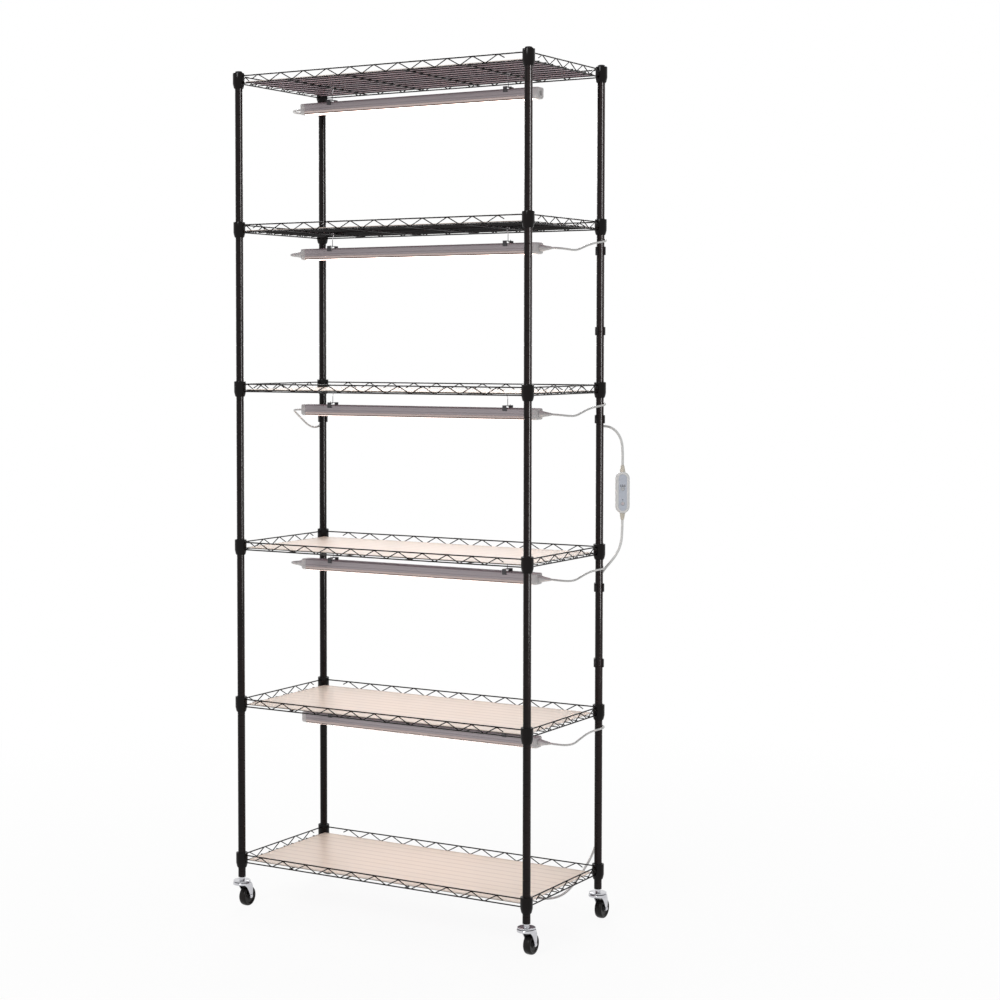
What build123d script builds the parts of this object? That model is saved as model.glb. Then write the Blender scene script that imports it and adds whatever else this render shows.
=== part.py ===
from build123d import *
import math
import os

os.makedirs("parts", exist_ok=True)

# Plant stand: four grooved posts on casters carry six wire shelves, and five linear
# grow lights hang under the upper five. Millimetres, +Z up. The origin is on the floor,
# midway between the four posts; -Y is the front, +X the right-hand end.

# Posts and shelf levels
post_spacing_x = 735.0
post_spacing_y = 329.0
post_diameter = 17.0
post_wall = 1.0
post_foot_height = 70.0
post_sides = 12
post_section_length = 602.0
post_seam_gap = 0.6
groove_pitch = 25.4
grooves_per_bay = 14
grooves_in_top_bay = 13
shelf_count = 6
lowest_shelf_height = 110.0
coupler_length = 46.0
coupler_clearance = 0.2
cap_head_height = 8.0
cap_shoulder = 3.0
cap_plug_length = 14.0

# Shelf wires and collars
collar_diameter = 26.6
collar_height = 33.0
collar_taper_height = 9.0
collar_foot_diameter = 22.4
collar_sides = 8
top_wire_below_collar_top = 6.25
truss_rise = 16.5
frame_wire = 3.0
truss_wire = 2.3
deck_wire = 2.3
cross_bar = 3.0
deck_wire_count = 11
deck_pitch = 30.0
cross_bar_count = 4
cross_bar_pitch = 152.5
cross_bar_offset = -9.0
front_truss_peaks = 11
front_truss_pitch = 61.0
front_first_peak = 54.8
side_truss_peaks = 5
side_truss_pitch = 61.5
side_first_peak = 53.0
tail_share = 0.5

# Split sleeves that wedge each collar on its post
sleeve_wall_top = 1.1
sleeve_wall_foot = 1.5
sleeve_post_clearance = 0.15
sleeve_collar_clearance = 0.15
sleeve_below_collar = 1.5
sleeve_above_collar = 1.0
sleeve_slit = 1.0

# Shelf liners
liner_inset = 10.0
liner_thickness = 1.0
liner_corner = 5.0

# Casters
wheel_diameter = 45.0
wheel_width = 17.0
wheel_shoulder = 3.5
wheel_sides = 32
axle_diameter = 5.0
axle_clearance = 0.3
axle_fit = 0.05
axle_nut = 8.0
axle_nut_height = 2.0
caster_trail = 20.0
fork_side_gap = 1.2
fork_wall = 1.8
fork_diameter = 41.0
fork_plate_thickness = 2.0
fork_skirt_height = 3.2
fork_sides = 16
fork_eye_radius = 5.2
fork_front_shares = ((0.0, 0.0), (0.35, 0.16), (0.65, 0.36), (0.88, 0.66))
fork_back_shares = ((0.0, 0.0), (0.72, 0.17), (1.1, 0.45), (1.08, 0.76))
race_clearance = 0.3
caster_plate_diameter = 39.0
caster_plate_thickness = 3.4
caster_plate_edge = 1.0
race_gap = 1.2
race_diameter = 27.0
caster_neck_diameter = 12.0
caster_neck_height = 6.4
stem_length = 24.0
stem_clearance = 0.25
kingpin_diameter = 8.0
kingpin_head_diameter = 13.0
kingpin_head_height = 1.8
swivel_clearance = 0.3

# Grow lights
light_offset_y = 15.0
light_drop = 32.0
light_length = 592.0
housing_width = 28.0
housing_height = 17.0
housing_wall = 2.0
housing_chamfer = 2.0
clip_groove_depth = 0.8
clip_groove_height = 2.5
clip_groove_drop = 4.5
diffuser_height = 8.0
diffuser_wall = 1.3
diffuser_corner = 3.4
diffuser_tab = 5.0
diffuser_clearance = 0.2
board_width = 22.0
board_thickness = 1.6
board_end_gap = 3.0
end_cap_length = 12.0
end_cap_chamfer = 2.0
plug_length = 28.0
blank_plug_length = 36.0
short_plug_length = 8.0
plug_root_diameter = 15.0
plug_waist_diameter = 10.0
plug_tip_diameter = 5.0
plug_waist_share = 0.55
plug_sides = 8
socket_diameter = 11.0
socket_depth = 6.0

# Light hangers: a wire hook over a cross bar and a sprung clip on the housing
hook_wire = 1.4
hook_clearance = 0.6
hook_loop_steps = 6
hook_loop_step = 35.0
hook_bend_steps = 5
hook_bend_radius = 3.2
hook_tip = 2.0
clip_web_drop = 26.6
clip_strip = 0.9
clip_width = 10.0
clip_clearance = 0.15
clip_slot = 2.8

# Leads, harness and the clips that hold them to the posts
lead_diameter = 4.4
harness_diameter = 5.0
mains_diameter = 5.5
cord_sides = 5
cord_gap = 0.3
post_wrap_radius = 11.1
harness_offset = (-12.4, 11.1)
mains_offset = (-6.9, 16.6)
link_offset = (-12.2, 10.6)
strap_wall = 2.6
strap_clearance = 0.3
strap_height = 18.0
strap_sides = 12
strap_mouth = 14.0
strap_mouth_angle = -50.0
harness_top_below_shelf = 20.0
harness_foot_below_shelf = 42.0
upper_strap_heights = (1480.0, 1305.0, 1112.0)
lower_strap_heights = (741.0, 574.0)
link_strap_height = 1101.0

# In-line timer controller
controller_width = 31.0
controller_length = 92.0
controller_depth = 16.0
controller_end_sides = 10
controller_edge = 1.6
controller_wall = 1.6
controller_front_wall = 2.0
controller_seam = 0.1
controller_turn = 31.66
controller_place = (404.0, 204.0, 950.0)
panel_width = 18.0
panel_length = 81.0
panel_recess = 0.8
panel_thickness = 0.5
panel_clearance = 0.1
button_diameter = 9.0
button_sides = 16
button_clearance = 0.2
button_proud = 0.4
button_length = 4.9
button_flange = 1.2
button_flange_thickness = 0.9
button_travel = 0.5
switch_gap = 0.1
timer_button_rise = 8.4
power_button_rise = -24.1
lamp_diameter = 2.0
lamp_rises = (16.8, -15.7)
lamp_pitch = 4.5
circuit_width = 24.0
circuit_length = 70.0
circuit_thickness = 1.6
circuit_depth = 1.0
switch_size = 6.0
board_post_size = 3.0
board_post_inset = 2.5
gland_length = 14.0
gland_root_diameter = 13.0
gland_tip_diameter = 8.0
gland_rings = 4
gland_groove = 1.0
gland_ring_shares = (0.0, 0.5, 0.6, 0.9)
gland_sides = 6

# Put-away coil of the mains lead and its plug
coil_centre = (95.0, 282.0)
coil_radius = 36.0
coil_pitch = 5.95
coil_turns = 5
coil_floor_gap = 0.15
coil_sides = 4
coil_exit_length = 11.0
plug_body_length = 26.0
plug_body_width = 24.0
plug_relief_length = 20.0
plug_corner = 4.0
plug_relief_diameter = 11.0
plug_relief_tip = 6.2
blade_length = 17.0
blade_width = 6.3
blade_thickness = 1.5
blade_spacing = 12.7

overrun = 5.0

half_x = post_spacing_x / 2
half_y = post_spacing_y / 2
post_radius = post_diameter / 2
corner_places = {
    "front_left": (-half_x, -half_y),
    "front_right": (half_x, -half_y),
    "rear_right": (half_x, half_y),
    "rear_left": (-half_x, half_y),
}
bay_height = grooves_per_bay * groove_pitch
shelf_heights = [lowest_shelf_height + bay_height * step for step in range(shelf_count)]
shelf_heights[-1] += (grooves_in_top_bay - grooves_per_bay) * groove_pitch
shelf_heights.reverse()

# Heights in a shelf, from the middle of its collars
top_wire_level = collar_height / 2 - top_wire_below_collar_top
low_wire_level = top_wire_level - truss_rise
deck_level = low_wire_level + (frame_wire + deck_wire) / 2
bar_level = deck_level - (deck_wire + cross_bar) / 2
liner_level = deck_level + deck_wire / 2
bar_places = [
    cross_bar_offset + cross_bar_pitch * (i - (cross_bar_count - 1) / 2)
    for i in range(cross_bar_count)
]


def save(name, solids):
    """One STEP file for one node, each of its solids kept separate."""
    export_step(Compound(children=[Solid(s.solid().wrapped) for s in solids]), f"parts/{name}.step")


def moved(solids, x, y, z):
    return [Pos(x, y, z) * s for s in solids]


def at_corners(solids):
    """The same solids at each of the four posts."""
    return [Pos(x, y, 0) * s for x, y in corner_places.values() for s in solids]


def polygon_at(level, across, sides, turn=0.0):
    """A flat-sided ring of a loft: a regular polygon, measured across its flats."""
    return Pos(0, 0, level) * RegularPolygon(across / 2, sides, major_radius=False, rotation=turn)


def stacked(sections, sides, turn=0.0):
    """A flat-sided solid of revolution through (level, size across flats) pairs."""
    return loft([polygon_at(z, across, sides, turn) for z, across in sections], ruled=True)


def flats(diameter, sides):
    """The size across the flats of a polygon drawn inside a circle."""
    return diameter * math.cos(math.pi / sides)


def oblong(length, width, sides):
    """An upright outline with straight edges and flat-sided round ends."""
    middle, radius = (length - width) / 2, width / 2
    points = []
    for end in (0, 1):
        for i in range(sides + 1):
            angle = math.pi * (end + i / sides)
            points.append((radius * math.cos(angle), radius * math.sin(angle) + middle * (1 - 2 * end)))
    return Polygon(*points, align=None)


def rod(start, end, across, sides):
    """A straight wire with a flat-sided section, a flat side up."""
    line = Vector(*end) - Vector(*start)
    upright = Vector(0, 0, 1)
    plane = Plane(origin=start, x_dir=upright.cross(line), z_dir=line)
    turn = 180 / sides if sides % 4 == 0 else 0
    section = RegularPolygon(across / 2, sides, major_radius=False, rotation=turn)
    return extrude(plane * section, line.length)


def bent_strip(points, width):
    """The outline of a strip that follows the points, with mitred corners."""
    sides = ([], [])
    for i, point in enumerate(points):
        here = Vector(*point)
        before = (here - Vector(*points[i - 1])).normalized() if i else None
        after = (Vector(*points[i + 1]) - here).normalized() if i < len(points) - 1 else None
        first, second = before or after, after or before
        normal = Vector(-first.Y - second.Y, first.X + second.X).normalized()
        reach = width / 2 / normal.dot(Vector(-first.Y, first.X))
        sides[0].append(here + normal * reach)
        sides[1].append(here - normal * reach)
    outline = sides[0] + sides[1][::-1]
    return Polygon(*[(p.X, p.Y) for p in outline], align=None)


def mirrored(half):
    """A closed outline from its right half, listed from the top middle to the foot."""
    return Polygon(*[(-x, y) for x, y in half], *[(x, y) for x, y in half[::-1] if x], align=None)


def cord_tube(label, points, diameter, tight=None):
    """A cord along its points: straight runs joined by arcs as large as the runs allow."""
    tight = tight or {}
    route = [Vector(*p) for p in points]
    radii = []
    for i in range(1, len(route) - 1):
        before, after = route[i] - route[i - 1], route[i + 1] - route[i]
        half_turn = math.radians(before.get_angle(after)) / 2
        shorter_run_share = 0.45
        free = shorter_run_share * min(before.length, after.length) / math.tan(half_turn)
        radii.append(min(free, tight[i]) if i in tight else free)
    path = FilletPolyline(*points, radius=radii)
    plane = Plane(origin=path @ 0, z_dir=path % 0)
    section = plane * RegularPolygon(diameter / 2, cord_sides)
    tube = sweep(section, path=path)
    ratio = tube.volume / (section.area * path.length)
    print(label, "length", round(path.length), "volume over section times length", round(ratio, 4))
    print("  radii in diameters", [round(r / diameter, 1) for r in radii])
    return tube


# Posts: three grooved tubes one above another, joined by couplers inside them
post_bore = post_diameter - 2 * post_wall
tube_section = RegularPolygon(post_radius, post_sides) - RegularPolygon(post_bore / 2, post_sides)
post_tube = extrude(tube_section, post_section_length - post_seam_gap)
coupler = extrude(RegularPolygon((post_bore - coupler_clearance) / 2, post_sides), coupler_length / 2, both=True)
section_names = ("posts_lower", "posts_middle", "posts_upper")
for place, name in enumerate(section_names):
    foot = post_foot_height + place * post_section_length
    pieces = moved([post_tube], 0, 0, foot)
    if name != section_names[-1]:
        pieces += moved([coupler], 0, 0, foot + post_section_length - post_seam_gap / 2)
    save(name, at_corners(pieces))

# Post caps: a plug in the tube under a low head with a bevelled shoulder
post_top = post_foot_height + len(section_names) * post_section_length - post_seam_gap
cap_bore = post_bore - coupler_clearance
cap = extrude(RegularPolygon(post_radius, post_sides), cap_head_height)
cap = chamfer(cap.edges().group_by(Axis.Z)[-1], cap_shoulder)
cap += extrude(RegularPolygon(cap_bore / 2, post_sides), -cap_plug_length)
save("post_caps", at_corners(moved([cap], 0, 0, post_top)))

# One shelf, modelled with the middle of its collars at height zero


def collar():
    """A welded collar: straight above, drawn in at its foot, bored to sit on the sleeve."""
    turn = 180 / collar_sides
    foot, top = -collar_height / 2, collar_height / 2
    body = stacked(
        [(foot, collar_foot_diameter), (foot + collar_taper_height, collar_diameter), (top, collar_diameter)],
        collar_sides,
        turn,
    )
    return body - sleeve_form(sleeve_collar_clearance, foot - overrun, top + overrun)


def sleeve_form(clearance, foot, top):
    """The sleeve's outer cone, grown by a clearance, between two heights."""
    turn = 180 / collar_sides
    slope = (sleeve_wall_foot - sleeve_wall_top) / collar_height

    def across(level):
        wall = sleeve_wall_top + slope * (collar_height / 2 - level)
        return post_diameter + 2 * (sleeve_post_clearance + wall + clearance)

    return stacked([(foot, across(foot)), (top, across(top))], collar_sides, turn)


def zigzag(peaks, pitch, first_peak, length):
    """The outline of a truss wire: level with the low wire at zero, with a short tail at each end."""
    reach = pitch * tail_share / 2
    start = first_peak - length / 2
    points = [(start - reach, truss_rise * (1 - tail_share))]
    for i in range(peaks):
        points.append((start + i * pitch, truss_rise))
        points.append((start + (i + tail_share) * pitch, 0))
    end = start + (peaks - 1) * pitch + reach
    points[-1] = (end, truss_rise * (1 - tail_share))
    return bent_strip(points, truss_wire)


def frame_side(length, offset, direction, truss):
    """The two straight wires of one side and the truss wire on their outer faces."""
    out = Vector(*direction)
    along = Vector(0, 0, 1).cross(out)
    wire_end = length / 2 - collar_diameter / 2
    pieces = []
    for level in (low_wire_level, top_wire_level):
        middle = out * offset + Vector(0, 0, level)
        pieces.append(rod(tuple(middle - along * wire_end), tuple(middle + along * wire_end), frame_wire, 4))
    outer_face = out * (offset + frame_wire / 2) + Vector(0, 0, low_wire_level)
    plane = Plane(origin=tuple(outer_face), x_dir=tuple(along), z_dir=tuple(out))
    pieces.append(extrude(plane * zigzag(*truss, length), truss_wire))
    return pieces


front_truss = (front_truss_peaks, front_truss_pitch, front_first_peak)
side_truss = (side_truss_peaks, side_truss_pitch, side_first_peak)
shelf_pieces = frame_side(post_spacing_x, half_y, (0, -1, 0), front_truss)
shelf_pieces += frame_side(post_spacing_x, half_y, (0, 1, 0), front_truss)
shelf_pieces += frame_side(post_spacing_y, half_x, (1, 0, 0), side_truss)
shelf_pieces += frame_side(post_spacing_y, half_x, (-1, 0, 0), side_truss)
shelf_pieces += at_corners([collar()])
deck_end = half_x + frame_wire / 2
for i in range(deck_wire_count):
    y = deck_pitch * (i - (deck_wire_count - 1) / 2)
    shelf_pieces.append(rod((-deck_end, y, deck_level), (deck_end, y, deck_level), deck_wire, 4))
bar_end = half_y - frame_wire / 2 / math.cos(math.pi / 6)
for x in bar_places:
    shelf_pieces.append(rod((x, -bar_end, bar_level), (x, bar_end, bar_level), cross_bar, 6))
for number, height in enumerate(shelf_heights, start=1):
    save(f"shelf_{number}", moved(shelf_pieces, 0, 0, height))

# Sleeves: two half shells at each collar, thicker towards the foot
sleeve_foot = -collar_height / 2 - sleeve_below_collar
sleeve_top = collar_height / 2 + sleeve_above_collar
sleeve = sleeve_form(0, sleeve_foot, sleeve_top)
sleeve -= Pos(0, 0, sleeve_foot - overrun) * extrude(
    RegularPolygon(post_radius + sleeve_post_clearance, collar_sides, major_radius=False, rotation=180 / collar_sides),
    sleeve_top - sleeve_foot + 2 * overrun,
)
sleeve -= Box(sleeve_slit, 2 * collar_diameter, 2 * collar_height)
halves = [s for height in shelf_heights for s in moved(sleeve.solids(), 0, 0, height)]
save("split_sleeves", at_corners(halves))

# Liners: a milky sheet on each deck, inside the raised lip of the frame
liner = extrude(
    Rectangle(post_spacing_x - 2 * liner_inset, post_spacing_y - 2 * liner_inset),
    liner_thickness,
)
liner = chamfer(liner.edges().filter_by(Axis.Z), liner_corner)
save("shelf_liners", [Pos(0, 0, height + liner_level) * liner for height in shelf_heights])

# Casters: stem and upper plate fixed in the post, fork turning under them, wheel on its axle
plate_top = post_foot_height - caster_neck_height
plate_foot = plate_top - caster_plate_thickness
race_foot = plate_foot - race_gap
fork_plate_foot = race_foot - fork_plate_thickness
pin_foot = fork_plate_foot - race_gap - kingpin_head_height
stem_diameter = post_bore - 2 * stem_clearance
stem = Pos(0, 0, plate_foot) * extrude(
    RegularPolygon(caster_plate_diameter / 2, post_sides), caster_plate_thickness
)
stem = chamfer(stem.edges().group_by(Axis.Z)[-1], caster_plate_edge)
for foot, height, diameter in (
    (pin_foot, kingpin_head_height, kingpin_head_diameter),
    (plate_top, caster_neck_height, caster_neck_diameter),
    (post_foot_height, stem_length, stem_diameter),
):
    stem += Pos(0, 0, foot) * extrude(RegularPolygon(diameter / 2, post_sides), height)
stem += Pos(0, 0, pin_foot) * extrude(Circle(kingpin_diameter / 2), plate_foot - pin_foot)
save("caster_stems", at_corners([stem]))

axle_level = wheel_diameter / 2
leg_inner = wheel_width / 2 + fork_side_gap


def across_axle(solid):
    """A piece turned from +Z to lie along the axle."""
    return Rot(0, 90, 0) * solid


wheel = extrude(RegularPolygon(wheel_diameter / 2, wheel_sides), wheel_width / 2, both=True)
wheel = chamfer([edge for face in (0, -1) for edge in wheel.faces().sort_by(Axis.Z)[face].edges()], wheel_shoulder)
wheel = across_axle(wheel - extrude(Circle(axle_diameter / 2 + axle_clearance), wheel_width, both=True))

# The fork: a cup over the kingpin, with two legs swept back and down to an eye at the axle
fork_radius = fork_diameter / 2
leg_reach = math.sqrt(flats(fork_radius, fork_sides) ** 2 - (leg_inner + fork_wall) ** 2)
leg_top = fork_plate_foot + fork_plate_thickness / 2
leg_drop = leg_top - axle_level


def leg_edge(shares, start, end):
    """Points down one edge of a leg, from the cup to beside the eye."""
    return [(start + along * (end - start), leg_top - down * leg_drop) for along, down in shares]


def eye_edge(first, last, steps):
    """Points round the underside of the eye, between two angles."""
    angles = [math.radians(first + (last - first) * i / steps) for i in range(steps + 1)]
    return [
        (caster_trail + fork_eye_radius * math.cos(a), axle_level + fork_eye_radius * math.sin(a)) for a in angles
    ]


eye_steps = 4
eye_angles = (150.0, 390.0)
leg_face = Polygon(
    *leg_edge(fork_front_shares, -leg_reach, caster_trail - fork_eye_radius),
    *eye_edge(*eye_angles, eye_steps),
    *leg_edge(fork_back_shares, leg_reach, caster_trail + fork_eye_radius)[::-1],
    align=None,
)
leg_face -= Pos(caster_trail, axle_level) * Circle(axle_diameter / 2 + axle_fit)
leg = extrude(Plane.YZ * leg_face, fork_wall, dir=(1, 0, 0))
skirt = RegularPolygon(fork_radius, fork_sides) - RegularPolygon(fork_radius - fork_wall, fork_sides)
fork = Pos(0, 0, fork_plate_foot) * extrude(RegularPolygon(fork_radius, fork_sides), fork_plate_thickness)
fork += Pos(0, 0, fork_plate_foot) * extrude(skirt, -fork_skirt_height)
fork += Pos(0, 0, race_foot) * extrude(RegularPolygon(race_diameter / 2, post_sides), race_gap - race_clearance)
fork += Pos(leg_inner, 0, 0) * leg + Pos(-leg_inner - fork_wall, 0, 0) * leg
pin_bore = Circle(kingpin_diameter / 2 + swivel_clearance)
fork -= Pos(0, 0, fork_plate_foot - overrun) * extrude(pin_bore, fork_plate_thickness + 2 * overrun)
axle_half = leg_inner + fork_wall
axle = extrude(Circle(axle_diameter / 2), axle_half, both=True)
nut = RegularPolygon(axle_nut / 2, 6, major_radius=False)
axle += Pos(0, 0, axle_half) * extrude(nut, axle_nut_height) + Pos(0, 0, -axle_half) * extrude(nut, -axle_nut_height)
axle = across_axle(axle)
for place, (x, y) in corner_places.items():
    at_axle = Pos(x, y + caster_trail, axle_level)
    save(f"caster_{place}_fork", [Pos(x, y, 0) * fork, at_axle * axle])
    save(f"caster_{place}_wheel", [at_axle * wheel])

# One grow light, modelled with its swing axis, the middle of the cross bars, at height zero
housing_top = -light_drop
housing_foot = housing_top - housing_height
diffuser_foot = housing_foot - diffuser_height
light_middle = (housing_top + diffuser_foot) / 2
housing_half = housing_width / 2
groove_top = housing_top - clip_groove_drop
groove_foot = groove_top - clip_groove_height
channel_half = housing_half - housing_wall
groove_half = housing_half - clip_groove_depth


def along_light(face, length):
    """A section drawn across the light, drawn out along it both ways from its middle."""
    return extrude(Plane.YZ * face, length / 2, both=True)


housing = along_light(
    mirrored(
        [
            (0, housing_top),
            (housing_half - housing_chamfer, housing_top),
            (housing_half, housing_top - housing_chamfer),
            (housing_half, groove_top),
            (groove_half, groove_top),
            (groove_half, groove_foot),
            (housing_half, groove_foot),
            (housing_half, housing_foot),
            (channel_half, housing_foot),
            (channel_half, housing_top - housing_wall),
            (0, housing_top - housing_wall),
        ]
    ),
    light_length,
)
tab_half = channel_half - diffuser_clearance
lip_level = housing_foot - diffuser_clearance
diffuser = along_light(
    mirrored(
        [
            (0, diffuser_foot),
            (housing_half - diffuser_corner, diffuser_foot),
            (housing_half, diffuser_foot + diffuser_corner),
            (housing_half, lip_level),
            (tab_half, lip_level),
            (tab_half, housing_foot + diffuser_tab),
            (tab_half - diffuser_wall, housing_foot + diffuser_tab),
            (tab_half - diffuser_wall, lip_level - diffuser_wall),
            (housing_half - diffuser_wall, lip_level - diffuser_wall),
            (housing_half - diffuser_wall, diffuser_foot + diffuser_corner),
            (housing_half - diffuser_corner, diffuser_foot + diffuser_wall),
            (0, diffuser_foot + diffuser_wall),
        ]
    ),
    light_length,
)
led_board = Pos(0, 0, housing_top - housing_wall - board_thickness / 2) * Box(
    light_length - 2 * board_end_gap, board_width, board_thickness
)
cap_outline = mirrored(
    [
        (0, housing_top),
        (housing_half - housing_chamfer, housing_top),
        (housing_half, housing_top - housing_chamfer),
        (housing_half, diffuser_foot + diffuser_corner),
        (housing_half - diffuser_corner, diffuser_foot),
        (0, diffuser_foot),
    ]
)
end_cap = Pos(light_length / 2, 0, 0) * extrude(Plane.YZ * cap_outline, end_cap_length)
end_cap = chamfer(end_cap.faces().sort_by(Axis.X)[-1].edges(), end_cap_chamfer)
light_end = light_length / 2 + end_cap_length
socket = extrude(Plane.YZ * RegularPolygon(socket_diameter / 2, plug_sides), socket_depth)
socket_cap = end_cap - Pos(light_end - socket_depth, 0, light_middle) * socket


def end_plug(length):
    """A soft tapered plug pushed into the right-hand end cap."""
    profile = [(0, plug_root_diameter), (length * plug_waist_share, plug_waist_diameter), (length, plug_tip_diameter)]
    return Pos(light_end, 0, light_middle) * Rot(0, 90, 0) * stacked(profile, plug_sides)


def at_left_end(solid):
    return Rot(0, 0, 180) * solid


# What each light carries at its left and right end, from the top one down
left_plugs = (short_plug_length, blank_plug_length, short_plug_length, blank_plug_length, 0)
right_plugs = (0, plug_length, plug_length, plug_length, plug_length)

loop_radius = (cross_bar / 2 + hook_clearance + hook_wire / 2) / math.cos(math.radians(hook_loop_step / 2))
first_angle = 90 - hook_loop_step * (hook_loop_steps + 1) / 2
hook_points = [
    (
        loop_radius * math.cos(math.radians(first_angle + i * hook_loop_step)),
        loop_radius * math.sin(math.radians(first_angle + i * hook_loop_step)),
    )
    for i in range(hook_loop_steps + 1)
]
bend_level = -clip_web_drop
hook_points += [(-loop_radius, -2 * loop_radius), (0, -4 * loop_radius)]
for i in range(hook_bend_steps + 1):
    angle = math.pi * (1 + i / hook_bend_steps)
    hook_points.append((hook_bend_radius * (1 + math.cos(angle)), bend_level + hook_bend_radius * math.sin(angle)))
hook_points.append((2 * hook_bend_radius, bend_level + hook_tip))
hook = extrude(Plane.XZ * bent_strip(hook_points, hook_wire), hook_wire / 2, both=True)
clip_inner = housing_half + clip_clearance
clip_outer = clip_inner + clip_strip
clip = along_light(
    mirrored(
        [
            (0, -clip_web_drop),
            (clip_outer, -clip_web_drop),
            (clip_outer, groove_foot + clip_clearance),
            (groove_half + clip_clearance, groove_foot + clip_clearance),
            (groove_half + clip_clearance, groove_top - clip_clearance),
            (clip_inner, groove_top - clip_clearance),
            (clip_inner, -clip_web_drop - clip_strip),
            (0, -clip_web_drop - clip_strip),
        ]
    ),
    clip_width,
)
clip -= Pos(0, 0, -clip_web_drop) * Box(clip_slot, clip_slot, 2 * clip_strip + 2 * clip_clearance)
hanger_half = (bar_places[-1] - bar_places[0]) / 2
hangers = moved([hook, clip], hanger_half, 0, 0)
hangers += [at_left_end(s) for s in hangers]
light_levels = [height + bar_level for height in shelf_heights[:-1]]
for number, level in enumerate(light_levels, start=1):
    left, right = left_plugs[number - 1], right_plugs[number - 1]
    ends = [at_left_end(end_cap), end_cap if right else socket_cap]
    ends += [at_left_end(end_plug(left))] if left else []
    ends += [end_plug(right)] if right else []
    for name, pieces in {
        "housing": [housing],
        "diffuser": [diffuser],
        "led_board": [led_board],
        "end_caps": ends,
        "hangers": hangers,
    }.items():
        save(f"light_{number}_{name}", moved(pieces, cross_bar_offset, light_offset_y, level))

# Leads: each leaves a light's plug, sags, goes round the front of the rear right post and
# joins the harness behind it. Points are from the post's axis and the light's swing axis.
rear_right = corner_places["rear_right"]
rear_left = corner_places["rear_left"]
lead_start = cross_bar_offset + light_end + plug_length + cord_gap
lead_route = (
    (lead_start - half_x, light_offset_y - half_y, light_middle),
    (-22.0, -149.5, -45.3),
    (-8.0, -133.0, -47.8),
    (-6.0, -104.0, -48.8),
    (-8.0, -72.0, -42.0),
    (-5.0, -36.0, -32.0),
    (12.70, 1.00, -25.0),
    (6.08, 11.20, -21.5),
    (harness_offset[0] + harness_diameter / 2 + cord_gap, 11.15, -20.0),
)
wrap_points = (6, 7)
wrap_drops = (0.0, 3.0, 10.0, 6.0)
leads = []
for number, drop in enumerate(wrap_drops, start=2):
    level = light_levels[number - 1]
    last = len(lead_route) - 1
    points = [
        (rear_right[0] + x, rear_right[1] + y, level + z - drop * max(0, i - 3) / (last - 3))
        for i, (x, y, z) in enumerate(lead_route)
    ]
    tight = {i: post_wrap_radius for i in wrap_points}
    leads.append(cord_tube(f"light {number} lead", points, lead_diameter, tight))

# Link lead: from the top light's left end down behind the rear left post to the third light
link_start = -(light_end + short_plug_length + cord_gap) + cross_bar_offset
upper, lower = light_levels[0], light_levels[2]
link_x, link_y = rear_left[0] + link_offset[0], rear_left[1] + link_offset[1]
link_points = [
    (link_start, light_offset_y, upper + light_middle),
    (-341.0, 15.0, upper - 44.8),
    (-355.0, 28.0, upper - 45.5),
    (-364.0, 53.0, upper - 45.0),
    (-371.0, 88.0, upper - 42.5),
    (-377.0, 124.0, upper - 39.5),
    (-380.5, 152.0, upper - 38.0),
    (link_x, link_y, upper - 38.5),
    (link_x, link_y, lower - 86.0),
    (-378.0, 148.0, lower - 92.0),
    (-373.0, 114.0, lower - 86.0),
    (-367.0, 80.0, lower - 71.0),
    (-361.0, 47.0, lower - 55.0),
    (-353.0, 24.0, lower - 47.0),
    (-341.0, 15.5, lower - 44.8),
    (link_start, light_offset_y, lower + light_middle),
]
leads.append(cord_tube("link lead", link_points, lead_diameter))
save("light_leads", leads)

# Harness: the leads' common trunk, straight down behind the post past the collars
harness_x, harness_y = rear_right[0] + harness_offset[0], rear_right[1] + harness_offset[1]
harness_top = shelf_heights[1] - harness_top_below_shelf
harness_foot = shelf_heights[4] - harness_foot_below_shelf
trunk = Pos(harness_x, harness_y, harness_foot) * extrude(
    RegularPolygon(harness_diameter / 2, cord_sides), harness_top - harness_foot
)
save("harness_trunk", [trunk])

# Mains lead: from the harness to the controller, then back behind the post to the floor
gland_end = controller_length / 2 + gland_length + cord_gap
controller_x, controller_y, controller_z = controller_place
branch_reach = harness_diameter / 2 + cord_gap
mains_upper_points = [
    (harness_x + branch_reach / 2, harness_y + branch_reach * math.sin(math.pi / 3), 1096.0),
    (366.1, 194.0, 1097.0),
    (384.0, 203.0, 1090.0),
    (399.0, 206.0, 1070.0),
    (404.5, 204.3, 1043.0),
    (controller_x, controller_y, controller_z + gland_end),
]
save("mains_lead_upper", [cord_tube("mains lead to the controller", mains_upper_points, mains_diameter)])

mains_x, mains_y = rear_right[0] + mains_offset[0], rear_right[1] + mains_offset[1]
coil_level = mains_diameter / 2 + coil_floor_gap
coil_front = coil_centre[1] - coil_radius
mains_lower_points = [
    (controller_x, controller_y, controller_z - gland_end),
    (controller_x, controller_y - 0.3, 861.0),
    (401.0, 203.0, 833.0),
    (390.0, 198.0, 808.0),
    (374.5, 189.3, 787.0),
    (mains_x, mains_y, 766.0),
    (mains_x, mains_y, 215.0),
    (356.0, 186.0, 184.0),
    (343.0, 198.0, 151.0),
    (322.0, 212.0, 117.0),
    (296.0, 225.0, 82.0),
    (268.0, 236.0, 47.0),
    (238.0, 243.0, 19.0),
    (205.0, 245.5, 5.5),
    (170.0, 247.5, coil_level),
    (134.0, coil_front, coil_level),
    (coil_centre[0] + mains_diameter + cord_gap, coil_front, coil_level),
]
save("mains_lead_lower", [cord_tube("mains lead to the coil", mains_lower_points, mains_diameter)])

# Coil: one unbroken tube that spirals in on the floor, climbs a layer and spirals out on top
layer_rise = coil_pitch
arc_turn_share = 0.25
climb_turn_share = 0.5


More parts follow.
